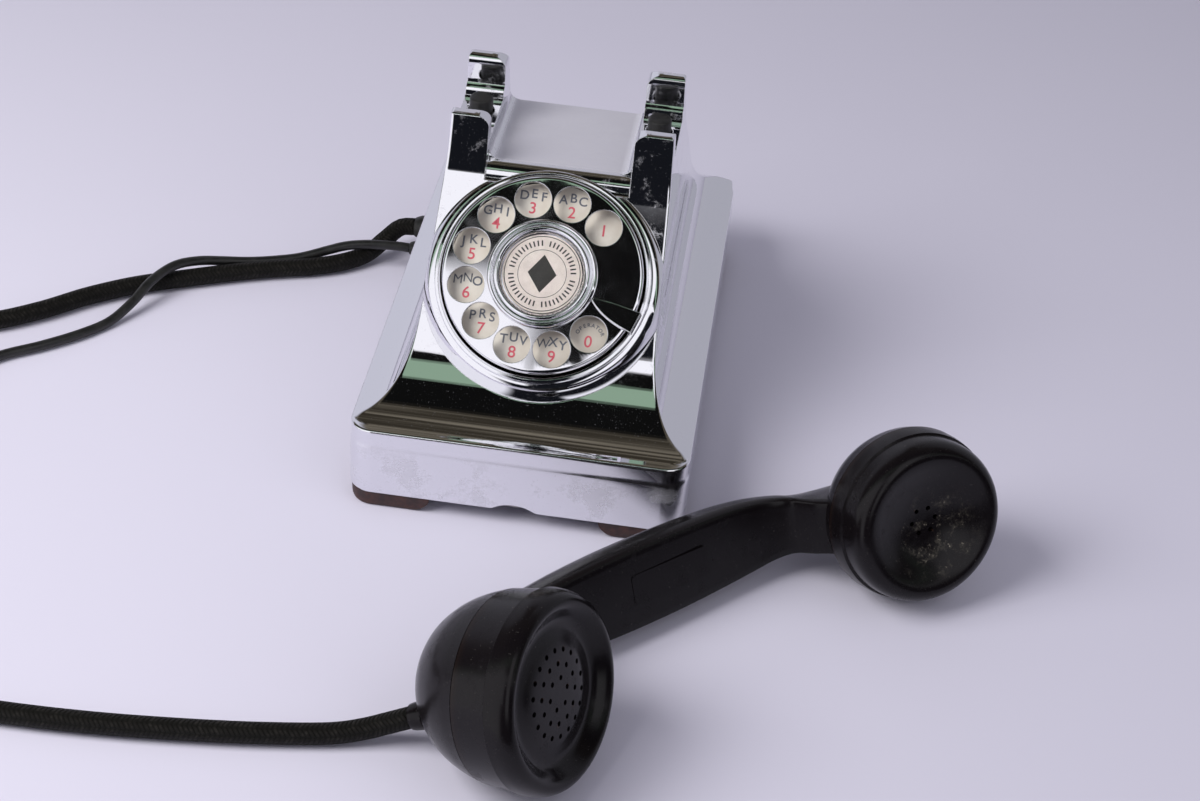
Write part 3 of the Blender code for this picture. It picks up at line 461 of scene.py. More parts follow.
def make_plating(name, hazed):
    """Old plating: bright, faintly wavy and smudged; the housing's deck and skirt are hazed."""
    made, tree, shader, where = new_material(name)
    smudge = span(tree, noise(tree, where, 38.0, 4.0, 0.6), 0.46, 0.72)
    fine = noise(tree, where, 900.0, 2.0)
    pits = span(tree, noise(tree, where, 1500.0, 1.0), 0.70, 0.76)
    patches = span(tree, noise(tree, where, 70.0, 5.0, 0.65), 0.50, 0.62)
    roughness = maths(tree, "MULTIPLY_ADD", smudge, 0.05, 0.035)
    haze = maths(tree, "MULTIPLY", pits, 0.12 if hazed else 0.03)
    if hazed:
        place = add(tree, "ShaderNodeSeparateXYZ", {"Vector": where}).outputs
        facing = add(tree, "ShaderNodeNewGeometry").outputs["Normal"]
        upward = add(tree, "ShaderNodeSeparateXYZ", {"Vector": facing}).outputs["Z"]
        deck_height = span(tree, place["Z"], 0.0975, 0.1000)
        below_seat = span(tree, place["Z"], 0.1075, 0.1060)
        behind_lip = span(tree, place["Y"], ORIGIN.y - 0.0185, ORIGIN.y - 0.0155)
        worn_deck = span(tree, noise(tree, where, 75.0, 6.0, 0.7), 0.28, 0.62, 0.80, 1.0)
        deck = product(tree, deck_height, below_seat, behind_lip, span(tree, upward, 0.72, 0.97),
                       worn_deck)
        skirt = product(tree, span(tree, place["Z"], 0.030, 0.022), patches, 0.35)
        worn_face = span(tree, noise(tree, where, 160.0, 6.0, 0.75), 0.56, 0.66)
        face = product(tree, span(tree, place["Z"], 0.046, 0.056), worn_face, 0.22)
        worn = maths(tree, "MAXIMUM", deck, maths(tree, "MAXIMUM", skirt, face))
        haze = maths(tree, "MAXIMUM", haze, worn)
    roughness = maths(tree, "MULTIPLY_ADD", haze, 0.40, roughness)
    bright = blend_colour(tree, haze, (0.84, 0.84, 0.87), (0.62, 0.61, 0.67))
    rounded = add(tree, "ShaderNodeBevel", {"Radius": 0.35 * MM}, samples=6).outputs["Normal"]
    waves = 0.35 if hazed else 0.10
    ripple = bump(tree, noise(tree, where, 24.0, 1.0), 0.10, waves, rounded)
    grain = bump(tree, fine, 0.04, 0.012 if hazed else 0.003, ripple)
    metal = maths(tree, "MULTIPLY_ADD", haze, -0.80, 1.0)
    feed(tree, shader, Base_Color=bright, Roughness=roughness, Normal=grain, Metallic=metal)
    return made


def make_phenolic(name, dusty_place=None, edge_highlight=1.0):
    """Polished black moulding with a painted brown highlight along its convex edges, and fine
    scuffs.
    """
    made, tree, shader, where = new_material(name, IOR=1.5, Specular_IOR_Level=0.21)
    scuff = span(tree, noise(tree, where, 120.0, 5.0, 0.7), 0.50, 0.75)
    lint = span(tree, noise(tree, where, 1300.0, 2.0), 0.69, 0.73)
    # Painted highlight: convex edges, found by their pointiness, are coloured a lighter brown.
    edge = span(tree, add(tree, "ShaderNodeNewGeometry").outputs["Pointiness"], 0.56, 0.66)
    edge = maths(tree, "MULTIPLY", edge, edge_highlight)
    brown = blend_colour(tree, edge, (0.0060, 0.0047, 0.0056), (0.026, 0.013, 0.008))
    colour = blend_colour(tree, maths(tree, "MULTIPLY", lint, 0.18), brown, (0.16, 0.15, 0.14))
    roughness = maths(tree, "MULTIPLY_ADD", scuff, 0.17, 0.21)
    if dusty_place is not None:
        away = add(tree, "ShaderNodeVectorMath", {0: where, 1: dusty_place},
                   operation="DISTANCE").outputs["Value"]
        near = span(tree, away, 0.021, 0.003)
        cloud = span(tree, noise(tree, where, 150.0, 6.0, 0.8), 0.50, 0.68)
        specks = span(tree, noise(tree, where, 800.0, 3.0, 0.6), 0.57, 0.66)
        dust = product(tree, near, cloud, maths(tree, "MULTIPLY_ADD", specks, 0.85, 0.15))
        colour = blend_colour(tree, dust, colour, (0.50, 0.45, 0.35))
        roughness = maths(tree, "MAXIMUM", roughness, maths(tree, "MULTIPLY", dust, 0.8))
    skin = bump(tree, noise(tree, where, 260.0, 3.0), 0.05, 0.05)
    feed(tree, shader, Base_Color=colour, Roughness=roughness, Normal=skin)
    return made


def make_braid():
    """Herringbone braid: eight columns of slanting threads round the cord."""
    made, tree, shader, where = new_material("braid_cloth", Specular_IOR_Level=0.15,
                                             Roughness=0.62)
    along_round = add(tree, "ShaderNodeUVMap", uv_map="along").outputs["UV"]
    parts = add(tree, "ShaderNodeSeparateXYZ", {"Vector": along_round}).outputs
    columns = maths(tree, "MULTIPLY", parts["Y"], 8.0)
    across = maths(tree, "FRACT", columns)
    parity = maths(tree, "MODULO", maths(tree, "FLOOR", columns), 2.0)
    slant = maths(tree, "MULTIPLY", across, maths(tree, "MULTIPLY_ADD", parity, 2.0, -1.0))
    thread = maths(tree, "FRACT", maths(tree, "MULTIPLY_ADD", parts["X"], 4.6, slant))
    crown = maths(tree, "SINE", maths(tree, "MULTIPLY", thread, pi))
    column_crown = maths(tree, "SINE", maths(tree, "MULTIPLY", across, pi))
    height = maths(tree, "MULTIPLY", crown, maths(tree, "POWER", column_crown, 0.5))
    fleck = span(tree, noise(tree, where, 420.0, 3.0), 0.50, 0.64)
    thread_colour = blend_colour(tree, fleck, (0.011, 0.010, 0.009), (0.022, 0.020, 0.018))
    # Painted shade: the braid is coloured darker down in the valleys between its threads.
    colour = blend_colour(tree, height, (0.005, 0.005, 0.004), thread_colour)
    raised = bump(tree, height, 0.9, 0.30)
    feed(tree, shader, Base_Color=colour, Normal=raised)
    return made


def make_mottled(name, light, dark, scale, roughness, metallic=0.0, relief=0.05):
    """A plain surface with its own grain: colour, gloss and bump from one noise."""
    made, tree, shader, where = new_material(name, Metallic=metallic)
    grain = span(tree, noise(tree, where, scale, 5.0, 0.65), 0.35, 0.70)
    gloss = maths(tree, "MULTIPLY_ADD", grain, 0.18, roughness)
    feed(tree, shader, Base_Color=blend_colour(tree, grain, dark, light), Roughness=gloss,
         Normal=bump(tree, grain, 0.5, relief))
    return made


def make_window():
    made, tree, shader, where = new_material("clear_window", Transmission_Weight=1.0, IOR=1.15)
    shader.inputs["Base Color"].default_value = (0.98, 0.98, 0.97, 1.0)
    scratch = span(tree, noise(tree, where, 500.0, 4.0), 0.55, 0.75)
    feed(tree, shader, Roughness=maths(tree, "MULTIPLY_ADD", scratch, 0.05, 0.01))
    return made


CHROME = make_plating("housing_plating", True)
DIAL_CHROME = make_plating("dial_plating", False)
PHENOLIC = make_phenolic("black_phenolic")
BRAID = make_braid()
RUBBER = make_mottled("line_sheath", (0.020, 0.020, 0.019), (0.009, 0.009, 0.009), 300.0, 0.34)
PLASTIC = make_mottled("black_fittings", (0.022, 0.021, 0.020), (0.010, 0.010, 0.010), 240.0, 0.42)
ENAMEL = make_mottled("cream_enamel", (0.80, 0.76, 0.68), (0.70, 0.64, 0.55), 55.0, 0.30, 0.0, 0.01)
CARD_PAPER = make_mottled("card_paper", (0.80, 0.72, 0.68), (0.71, 0.63, 0.59), 300.0, 0.72)
CARD_INK = make_mottled("card_ink", (0.040, 0.038, 0.036), (0.024, 0.023, 0.022), 400.0, 0.7)
BLUE_INK = make_mottled("letter_enamel", (0.17, 0.18, 0.21), (0.12, 0.13, 0.16), 400.0, 0.4)
RED_INK = make_mottled("figure_enamel", (0.75, 0.15, 0.19), (0.62, 0.11, 0.15), 400.0, 0.4)
LEATHER = make_mottled("foot_hide", (0.085, 0.040, 0.034), (0.030, 0.016, 0.015), 210.0, 0.55,
                       relief=0.2)
STEEL = make_mottled("plain_steel", (0.46, 0.46, 0.47), (0.30, 0.29, 0.29), 90.0, 0.30, 1.0)
BRASS = make_mottled("aged_brass", (0.66, 0.48, 0.22), (0.40, 0.28, 0.14), 110.0, 0.28, 1.0)
COPPER = make_mottled("varnished_copper", (0.42, 0.17, 0.09), (0.24, 0.09, 0.05), 700.0, 0.36, 0.6)
WINDOW = make_window()


# ---- cords ----------------------------------------------------------------------------
CORD_OUT = (              # braided cord, from the base to its coil
    (-71.2, 68.0, 13.0), (-78.0, 67.3, 12.1), (-84.0, 62.4, 8.0), (-90.5, 54.6, 4.6),
    (-100.0, 46.6, CORD_Z), (-112.0, 40.6, CORD_Z), (-127.0, 35.6, CORD_Z),
    (-143.0, 29.0, CORD_Z), (-160.0, 21.0, CORD_Z), (-179.0, 11.5, CORD_Z), (-196.0, -0.5, CORD_Z),
    (-212.0, -15.0, CORD_Z), (-230.0, -27.0, CORD_Z), (-252.0, -33.5, CORD_Z),
    (-276.0, -39.0, CORD_Z), (-297.0, -52.0, CORD_Z), (-311.0, -75.0, CORD_Z),
    (-317.5, -102.0, CORD_Z), (-320.5, -128.0, CORD_Z))
CORD_BACK = (             # braided cord, from its coil towards the handset
    (-240.0, -224.0, 7.0), (-215.0, -230.5, CORD_Z),
    (-190.0, -234.0, CORD_Z), (-165.0, -235.5, CORD_Z), (-140.0, -235.5, CORD_Z),
    (-115.0, -234.3, CORD_Z), (-90.0, -232.0, CORD_Z), (-68.0, -229.3, CORD_Z),
    (-47.7, -225.9, CORD_Z), (-38.0, -223.8, 4.4), (-30.0, -221.8, 5.8), (-23.5, -220.3, 7.9),
    (-14.8, -219.2, 11.7))
LINE_OUT = (              # smooth line cord, from the base to its coil
    (-70.8, 54.0, 11.0), (-77.0, 53.7, 11.4), (-84.0, 53.2, 11.3), (-91.0, 52.5, 10.9),
    (-99.0, 51.4, 9.6), (-107.0, 49.2, 7.4), (-117.0, 45.6, 5.0), (-127.0, 42.2, 4.2),
    (-138.0, 38.0, 4.6), (-148.0, 33.2, 6.6), (-157.0, 27.2, 9.2), (-165.0, 19.0, 10.8),
    (-171.5, 8.0, 9.4), (-176.5, -3.0, 5.4),
    (-183.0, -14.0, LINE_Z), (-192.0, -25.0, LINE_Z), (-204.0, -35.5, LINE_Z),
    (-217.0, -45.0, LINE_Z), (-226.5, -56.0, LINE_Z))
LINE_END = (              # off the top of its coil, across it and down to the plug
    (-252.0, -63.0, 11.5), (-248.0, -73.0, 13.5), (-247.5, -82.0, 15.2), (-245.0, -91.0, 15.6),
    (-240.0, -99.0, 11.0), (-233.0, -105.0, 4.2), (-226.0, -109.0, 3.6), (-219.3, -112.4, 4.0))
CORD_COIL = (-272.0, -165.0)
LINE_COIL = (-262.0, -78.0)


def coil(centre, lanes, start, turns, direction, count):
    """A wound coil. Each turn keeps to its lane (radius, height) and then moves to the next."""
    points = []
    steps = round(turns * count)
    for i in range(steps + 1):
        turn = i / count
        lane = min(int(turn), len(lanes) - 1)
        after = lanes[min(lane + 1, len(lanes) - 1)]
        share = max(0.0, min(1.0, (turn - lane - 0.72) / 0.25))
        share = share * share * (3 - 2 * share)
        radius = lanes[lane][0] * (1 - share) + after[0] * share
        height = lanes[lane][1] * (1 - share) + after[1] * share
        angle = radians(start) + direction * 2 * pi * turn
        points.append((centre[0] + radius * cos(angle), centre[1] + radius * sin(angle), height))
    return points


def tube_mesh(name, points, radius, sides, length_scale):
    """A tube along the points, with UVs that run along it in millimetres and once round it."""
    mesh = bpy.data.meshes.new(name)
    work = bmesh.new()
    uv_layer = work.loops.layers.uv.new("along")
    tangents = []
    for i in range(len(points)):
        before = points[max(i - 1, 0)]
        after = points[min(i + 1, len(points) - 1)]
        tangents.append((after - before).normalized())
    side = tangents[0].cross(Vector((0, 0, 1))).normalized()
    rings = []
    walked = [0.0]
    for a, b in zip(points, points[1:]):
        walked.append(walked[-1] + (b - a).length)
    for i, (point, tangent) in enumerate(zip(points, tangents)):
        side = (side - tangent * side.dot(tangent)).normalized()
        other = tangent.cross(side)
        ring = []
        for k in range(sides):
            angle = 2 * pi * k / sides
            place = point + (side * cos(angle) + other * sin(angle)) * radius
            ring.append(work.verts.new(place * MM))
        rings.append(ring)
    for i in range(len(rings) - 1):
        for k in range(sides):
            j = (k + 1) % sides
            face = work.faces.new((rings[i][k], rings[i][j], rings[i + 1][j], rings[i + 1][k]))
            corners = ((i, k), (i, k + 1), (i + 1, k + 1), (i + 1, k))
            for loop, (along, round_it) in zip(face.loops, corners):
                loop[uv_layer].uv = (walked[along] * length_scale, round_it / sides)
    for ring in (rings[0], rings[-1]):
        work.faces.new(ring)
    bmesh.ops.recalc_face_normals(work, faces=work.faces)
    work.to_mesh(mesh)
    work.free()
    mesh.shade_smooth()
    return mesh


def make_cords():
    turns = coil(CORD_COIL, ((45.0, CORD_Z), (37.2, CORD_Z), (37.2, 11.6), (45.0, 11.6)),
                 168.0, 3.22, 1, 40)
    route = smooth_route([*CORD_OUT, *turns, *CORD_BACK], 2.2)
    mesh = tube_mesh("handset_cord", route, CORD_DIAMETER / 2, 20, 1 / CORD_DIAMETER)
    cord = new_object("handset_cord", mesh, DESK, BRAID)
    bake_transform(cord)
    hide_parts("handset_cord_out", "handset_cord_coil", "handset_cord_back",
                "handset_cord_end")

    columns = (29.5, 25.4, 21.3, 17.2)
    lanes = [(r, LINE_Z) for r in columns] + [(r, LINE_Z + 4.1) for r in reversed(columns)] \
        + [(r, LINE_Z + 8.2) for r in columns]
    turns = coil(LINE_COIL, lanes, 14.0, 11.72, -1, 28)
    line = smooth_route([*LINE_OUT, *turns, *LINE_END], 2.0)
    mesh = tube_mesh("line_cord", line, LINE_DIAMETER / 2, 12, 1 / LINE_DIAMETER)
    lead = ride(new_object("line_cord", mesh, DESK, RUBBER), "base", "line_rubber",
                "line_cord_out", "line_cord_coil", "line_cord_end")


# ---- housing --------------------------------------------------------------------------
def skirt_edge(face, inward, draft=0.0):
    """The skirt's upright profile, from its lower edge to just above its faint ledge."""
    upper = face + inward * draft
    return [(face + inward * 0.8, FOOT_TOP), (face + inward * 0.25, FOOT_TOP + 0.3),
            (face, FOOT_TOP + 0.9), (upper, STEP_Z - 0.7),
            (upper + inward * STEP_IN * 0.3, STEP_Z - 0.2),
            (upper + inward * STEP_IN * 0.8, STEP_Z + 0.4),
            (upper + inward * STEP_IN, STEP_Z + 1.0), (upper + inward * STEP_IN, STEP_Z + 1.5)]


def front_profile():
    edge = FRONT_Y + FRONT_DRAFT + STEP_IN
    rim = sweep((edge, 33.5), (edge, 34.4), (edge + 0.3, 34.8), (-101.9, 34.9), 6)
    cove = sweep((-101.9, 34.9), (-84.0, 35.2), (-70.2, 47.6), (-62.0, 57.5), 40)
    horn = sweep((-27.5, 99.2), (-24.4, 103.0), (-22.4, 107.4), (-19.4, 121.4), 16)
    return [*skirt_edge(FRONT_Y, 1, FRONT_DRAFT), *rim, *cove[1:], *horn, (-18.2, HORN_TOP)]


def side_profile():
    edge = HALF_WIDTH - STEP_IN
    shoulder = sweep((edge, 33.4), (edge, 34.6), (64.0, 35.0), (58.5, 36.3), 18)
    cove = sweep((58.5, 36.3), (50.2, 38.2), (45.9, 44.5), (44.7, 60.0), 30)
    return [*skirt_edge(HALF_WIDTH, -1), *shoulder, *cove[1:], (43.2, 95.0), (42.4, 110.0),
            *arc((40.7, 126.8), 1.2, 0, 90, 8)]


def rear_profile():
    edge = REAR_Y - STEP_IN
    rim = sweep((edge, 34.6), (edge, 36.0), (edge - 0.5, 36.8), (edge - 1.6, 37.3), 6)
    cove = sweep((edge - 1.6, 37.3), (93.5, 40.0), (88.5, 44.2), (83.0, 49.9), 20)
    back = sweep((34.0, 102.0), (32.6, 105.0), (30.9, 109.5), (29.9, 112.6), 8)
    top = sweep((29.9, 112.6), (28.2, 117.5), (26.4, 127.9), (21.6, HORN_TOP), 20)
    return [*skirt_edge(REAR_Y, -1), *rim, *cove[1:], *back, *top[1:]]


def reader(profile):
    """A function that gives the profile's place at any height."""
    def read(z):
        for (place, low), (after, high) in zip(profile, profile[1:]):
            if z <= high:
                share = (z - low) / (high - low) if high > low else 1.0
                return place + (after - place) * max(0.0, share)
        return profile[-1][0]
    return read


FRONT_AT = reader(front_profile())
SIDE_AT = reader(side_profile())
REAR_AT = reader(rear_profile())


def corner_radius(z):
    """Round corners on the skirt, which tighten at once into the tower's crisp ridges."""
    share = max(0.0, min(1.0, (z - 34.85) / 0.55))
    return 9.0 - 7.8 * share * share * (3 - 2 * share)


def rounded_ring(half_width, front, rear, radius):
    """A rounded rectangle with the same number of points whatever its size."""
    corners = []
    for x, y, start in ((half_width, front, -90), (half_width, rear, 0),
                        (-half_width, rear, 90), (-half_width, front, 180)):
        centre = (x - radius * (1 if x > 0 else -1), y + radius * (1 if y == front else -1))
        corners.append(arc(centre, radius, start, start + 90, 8))
    ring = []
    for corner, following in zip(corners, corners[1:] + corners[:1]):
        ring += corner
        start = Vector(corner[-1])
        stop = Vector(following[0])
        length = (stop - start).length
        for share in (0.4 / length, 4.0 / length, 0.5, 1 - 4.0 / length, 1 - 0.4 / length):
            ring.append(tuple(start.lerp(stop, share)))
    return ring


def stack(name, rings, heights):
    """A closed solid through level rings, one above the other."""
    work = bmesh.new()
    levels = []
    for ring, z in zip(rings, heights):
        levels.append([work.verts.new((x * MM, y * MM, z * MM)) for x, y in ring])
    for level, above in zip(levels, levels[1:]):
        bridge(work, level, above)
    work.faces.new(list(reversed(levels[0])))
    work.faces.new(levels[-1])
    return finished(name, work, DESK)


def housing_heights():
    """Heights where a ring is needed: close together where a profile runs nearly level."""
    heights = set()
    for profile in (front_profile(), side_profile(), rear_profile()):
        for (a, low), (b, high) in zip(profile, profile[1:]):
            length = ((b - a) ** 2 + (high - low) ** 2) ** 0.5
            count = max(1, round(length / 1.6))
            for i in range(count + 1):
                heights.add(low + (high - low) * i / count)
    kept = []
    for z in sorted(heights):
        if not kept or z - kept[-1] > 0.035:
            kept.append(z)
    return kept


def outer_solid():
    heights = housing_heights()
    rings = [rounded_ring(SIDE_AT(z), FRONT_AT(z), REAR_AT(z), corner_radius(z)) for z in heights]
    return stack("housing", rings, heights)


def inner_solid():
    """The hollow: the outer form brought in and down by the wall."""
    wall = HOUSING_WALL
    heights = [z for z in housing_heights() if 30 < z < 101.4]
    rings = [rounded_ring(SIDE_AT(z) - wall, FRONT_AT(z) + wall, REAR_AT(z) - wall,
                          max(1.0, corner_radius(z) - wall)) for z in heights]
    return stack("hollow", [rings[0], *rings], [0.0, *[z - wall for z in heights]])


def dial_collar():
    """The turned seat round the dial, kept inside the tower's side walls."""
    rounding = smooth_profile([(40.6, -4.9), (42.6, -5.6), (44.8, -8.4), (46.4, -13.0),
                               (47.3, -20.0)], 0.8)
    profile = [(39.3, -4.9), *rounding, (47.3, -34.0), (39.3, -34.0)]
    mesh = turned("dial_collar", profile, DIAL, 160, True)
    for vertex in mesh.vertices:
        place = (vertex.co - ORIGIN) / MM
        limit = SIDE_AT(place.z) - 0.03
        vertex.co.x = ORIGIN.x + max(-limit, min(limit, place.x)) * MM
    return mesh


def deck_outline(floor, top):
    """A trough with wide fillets at its floor and rounded shoulders under the ears' tops."""
    shoulder = [(EAR_INNER + 6.4 * (1 - cos(radians(a))), top - 4.2 * (1 - sin(radians(a))))
                for a in range(90, -1, -10)]
    fillet = arc((EAR_INNER - 5.0, floor + 5.0), 5.0, 0, -90, 8)
    right = [(EAR_INNER + 6.4, top + 12.0), *shoulder, *fillet]
    return [*right, *[(-x, z) for x, z in reversed(right)]]


def deck_space():
    """The space between the ears, whose front horns are lower than their rear posts."""
    fall = (DECK_FRONT_Z - DECK_REAR_Z) / (DECK_REAR_Y - DECK_FRONT_Y)
    sections = []
    for y, top in ((-80, FRONT_HORN_TOP), (-8, FRONT_HORN_TOP), (12, HORN_TOP), (60, HORN_TOP)):
        floor = DECK_FRONT_Z - fall * (y - DECK_FRONT_Y)
        sections.append([(x, y, z) for x, z in deck_outline(floor, top)])
    return loft("deck_space", sections, DESK, True)


def deck_lip():
    outline = [(-45.0, 100.2), *arc((DECK_FRONT_Y - 0.3, DECK_FRONT_Z - 6.0), 6.03, 162, 84, 14),
               (DECK_FRONT_Y + 0.4, 132), (-45, 132)]
    return prism("deck_lip", outline, -EAR_INNER + 0.05, EAR_INNER - 0.05, DESK @ ALONG_X)


def handset_seat():
    """Seats the handset between horn and post, and takes the front horns down to their top."""
    outline = [(-45.0, 140.0), (-45.0, 121.4), *arc((-17.7, 121.57), 1.9, 180, 90, 6),
               *arc((-15.6, 121.37), 2.1, 90, 0, 6), (-13.45, 114.0),
               *arc((-11.5, 114.0), 2.0, 180, 270, 6), (13.2, SEAT_Z), (14.1, 112.6),
               (14.7, 114.4), (15.4, 115.3), (16.5, 115.7), (17.4, 116.5), (17.8, 118.0),
               (17.4, 124.6), *arc((20.8, 124.6), 3.4, 180, 90, 10), (20.8, 140.0)]
    return prism("handset_seat", outline, -60.0, 60.0, DESK @ ALONG_X)


def horn_tops():
    """What lies above the front horns, whose outer top corners are rounded."""
    corner = arc((40.2, FRONT_HORN_TOP - 2.4), 2.4, 90, 0, 8)
    right = [*corner, (42.6, 117.0), (60.0, 117.0), (60.0, 140.0)]
    outline = [*right, *[(-x, z) for x, z in reversed(right)]]
    return prism("horn_tops", outline, 13.5, 60.0, DESK @ ALONG_Y)


def plunger_axis(side):
    return DESK @ Matrix.Translation((side * PLUNGER_SIDE * MM, PLUNGER_Y * MM, 0))


def sideways(x, y, z):
    """A frame whose Z points to the telephone's left."""
    return DESK @ Matrix.Translation(Vector((x, y, z)) * MM) @ Matrix.Rotation(-pi / 2, 4, "Y")


def make_housing():
    bore = turned("dial_bore", [(0, 12), (DIAL_BORE, 12), (DIAL_BORE, -60), (0, -60)], DIAL, 128)
    cuts = [("DIFFERENCE", bore), ("UNION", dial_collar()), ("DIFFERENCE", deck_space()),
            ("DIFFERENCE", deck_lip()), ("DIFFERENCE", horn_tops()),
            ("DIFFERENCE", handset_seat()), ("DIFFERENCE", inner_solid())]
    for side in (-1, 1):
        rim = [(0, 60), (4.9, 60), (4.9, SEAT_Z - 0.5), (5.4, SEAT_Z + 0.02), (5.4, 125), (0, 125)]
        cuts.append(("DIFFERENCE", turned("plunger_bore", rim, plunger_axis(side), 48)))
    notch = prism("notch", arc((0, FOOT_TOP - 11.3), 14.4, 0, 350, 70), -8, 8,
                  DESK @ Matrix.Translation((0, FRONT_Y * MM, 0)) @ ALONG_Y)
    cuts.append(("DIFFERENCE", notch))
    for place, radius in ((CORD_OUTLET, 5.6), (LINE_OUTLET, 3.8)):
        outlet = turned("outlet", [(0, 12), (radius, 12), (radius, -12), (0, -12)],
                        sideways(*place), 40)
        cuts.append(("DIFFERENCE", outlet))
    mesh = carve(outer_solid(), cuts)
    shade(mesh, 28)
    ride(keep_flats_flat(new_object("housing_shell", mesh, None, CHROME)), "base", "chrome",
         "housing")


# ---- dial -----------------------------------------------------------------------------
def dial_ring(name, profile, finish, body, slot, ring=True):
    return turned_piece(name, profile, DIAL, 144, finish, body, slot, ring)


def hole_centre(number):
    angle = radians(FIRST_HOLE + 30 * number)
    return HOLE_CIRCLE * cos(angle), HOLE_CIRCLE * sin(angle)


def make_finger_wheel():
    profile = [(3.9, 0.0), (36.0, 0.0), (36.5, -0.07), (37.0, -0.3), (37.3, -0.7), (37.45, -1.2),
               (WHEEL_RADIUS, -1.8), (WHEEL_RADIUS, -3.2), (36.4, -3.2), (36.4, -1.5), (3.9, -1.5)]
    disc = turned("finger_wheel", profile, DIAL, 160, True)
    cutter_profile = [(0, 2.0), (HOLE_RADIUS + 0.1, 2.0), (HOLE_RADIUS + 0.1, -3.0), (0, -3.0)]
    cuts = []
    for number in range(HOLE_COUNT):
        x, y = hole_centre(number)
        spot = DIAL @ Matrix.Translation((x * MM, y * MM, 0))
        cuts.append(turned("finger_hole", cutter_profile, spot, 48))
    mesh = carve(disc, [("DIFFERENCE", joined("finger_holes", cuts))])
    shade(mesh, 30)
    piece = keep_flats_flat(new_object("finger_wheel_piece", mesh, None, DIAL_CHROME))
    ride(piece, "dial_rotor", "chrome", "finger_wheel")


def make_finger_stop():
    """A curved fang over the wheel's lower right, with a leg down to the dial's case."""
    turn = Matrix.Rotation(radians(FINGER_STOP_ANGLE), 4, "Z")
    lower = sweep((21.0, -0.5), (26.0, -3.6), (31.0, -4.7), (39.4, -4.8), 14)
    upper = sweep((39.4, 3.4), (33.0, 3.0), (27.0, 1.9), (21.4, 0.6), 14)
    blade = prism("finger_stop", [*lower, *upper], 0.6, 1.8, DIAL @ turn)
    leg = prism("stop_leg", [(38.0, -4.8), (39.6, -4.8), (39.6, 3.4), (38.0, 3.4)], -2.5, 1.5,
                DIAL @ turn)
    mesh = carve(blade, [("UNION", leg)])
    piece = new_object("finger_stop_piece", mesh, None, DIAL_CHROME)
    soften = piece.modifiers.new("edges", "BEVEL")
    soften.width = 0.25 * MM
    soften.segments = 3
    shade(mesh, 35)
    ride(piece, "base", "chrome", "finger_stop")


def lettering(name, text, size, place, finish, body, slot, turn=0.0, weight=0.014):
    """Flat enamelled characters, centred on their place."""
    curve = bpy.data.curves.new(name, "FONT")
    curve.body = text
    curve.size = size * MM
    curve.align_x = "CENTER"
    curve.align_y = "CENTER"
    curve.extrude = 0.02 * MM
    curve.offset = weight * size * MM
    obj = bpy.data.objects.new(name, curve)
    bpy.context.scene.collection.objects.link(obj)
    bpy.context.view_layer.update()
    mesh = bpy.data.meshes.new_from_object(obj.evaluated_get(
        bpy.context.evaluated_depsgraph_get()))
    bpy.data.objects.remove(obj, do_unlink=True)
    spot = Matrix.Translation(Vector(place) * MM) @ Matrix.Rotation(radians(turn), 4, "Z")
    mesh.transform(DIAL @ spot)
    return ride(new_object(name, mesh, None, finish), body, slot)


LETTERS = ("", "ABC", "DEF", "GHI", "JKL", "MNO", "PRS", "TUV", "WXY", "")


def make_number_plate():
    crown = [(8.0, PLATE_Z), (20.0, PLATE_Z), (35.4, PLATE_Z), (36.0, PLATE_Z - 0.3),
             (36.0, PLATE_Z - 0.8), (8.0, PLATE_Z - 0.8)]
    dial_ring("number_plate", crown, ENAMEL, "base", "enamel")
    ink_height = PLATE_Z + 0.05
    for number in range(HOLE_COUNT):
        x, y = hole_centre(number)
        x -= 0.3
        y += 0.6
        digit = str((number + 1) % 10)
        lower = 2.6 if number else 0.6
        lettering(f"figure_{digit}", digit, 6.2, (x, y - lower, ink_height), RED_INK, "base",
                  "enamel", weight=0.008)
        for place, letter in enumerate(LETTERS[number]):
            raised = 0.9 if place == 1 else 0.0
            pointed = letter in "MNW"     # their narrow joints would fill with a bolder line
            lettering(f"letter_{letter.lower()}", letter, 4.9,
                      (x + (place - 1) * 3.7, y + 2.1 + raised, ink_height), BLUE_INK, "base",
                      "enamel", weight=0.0 if pointed else 0.014)
    x, y = hole_centre(HOLE_COUNT - 1)
    for place, letter in enumerate("OPERATOR"):
        angle = 155.0 - place * 18.6
        spot = (x + 5.0 * cos(radians(angle)), y - 0.6 + 5.0 * sin(radians(angle)), ink_height)
        lettering(f"operator_{place}", letter, 2.0, spot, BLUE_INK, "base", "enamel",
                  turn=angle - 90)


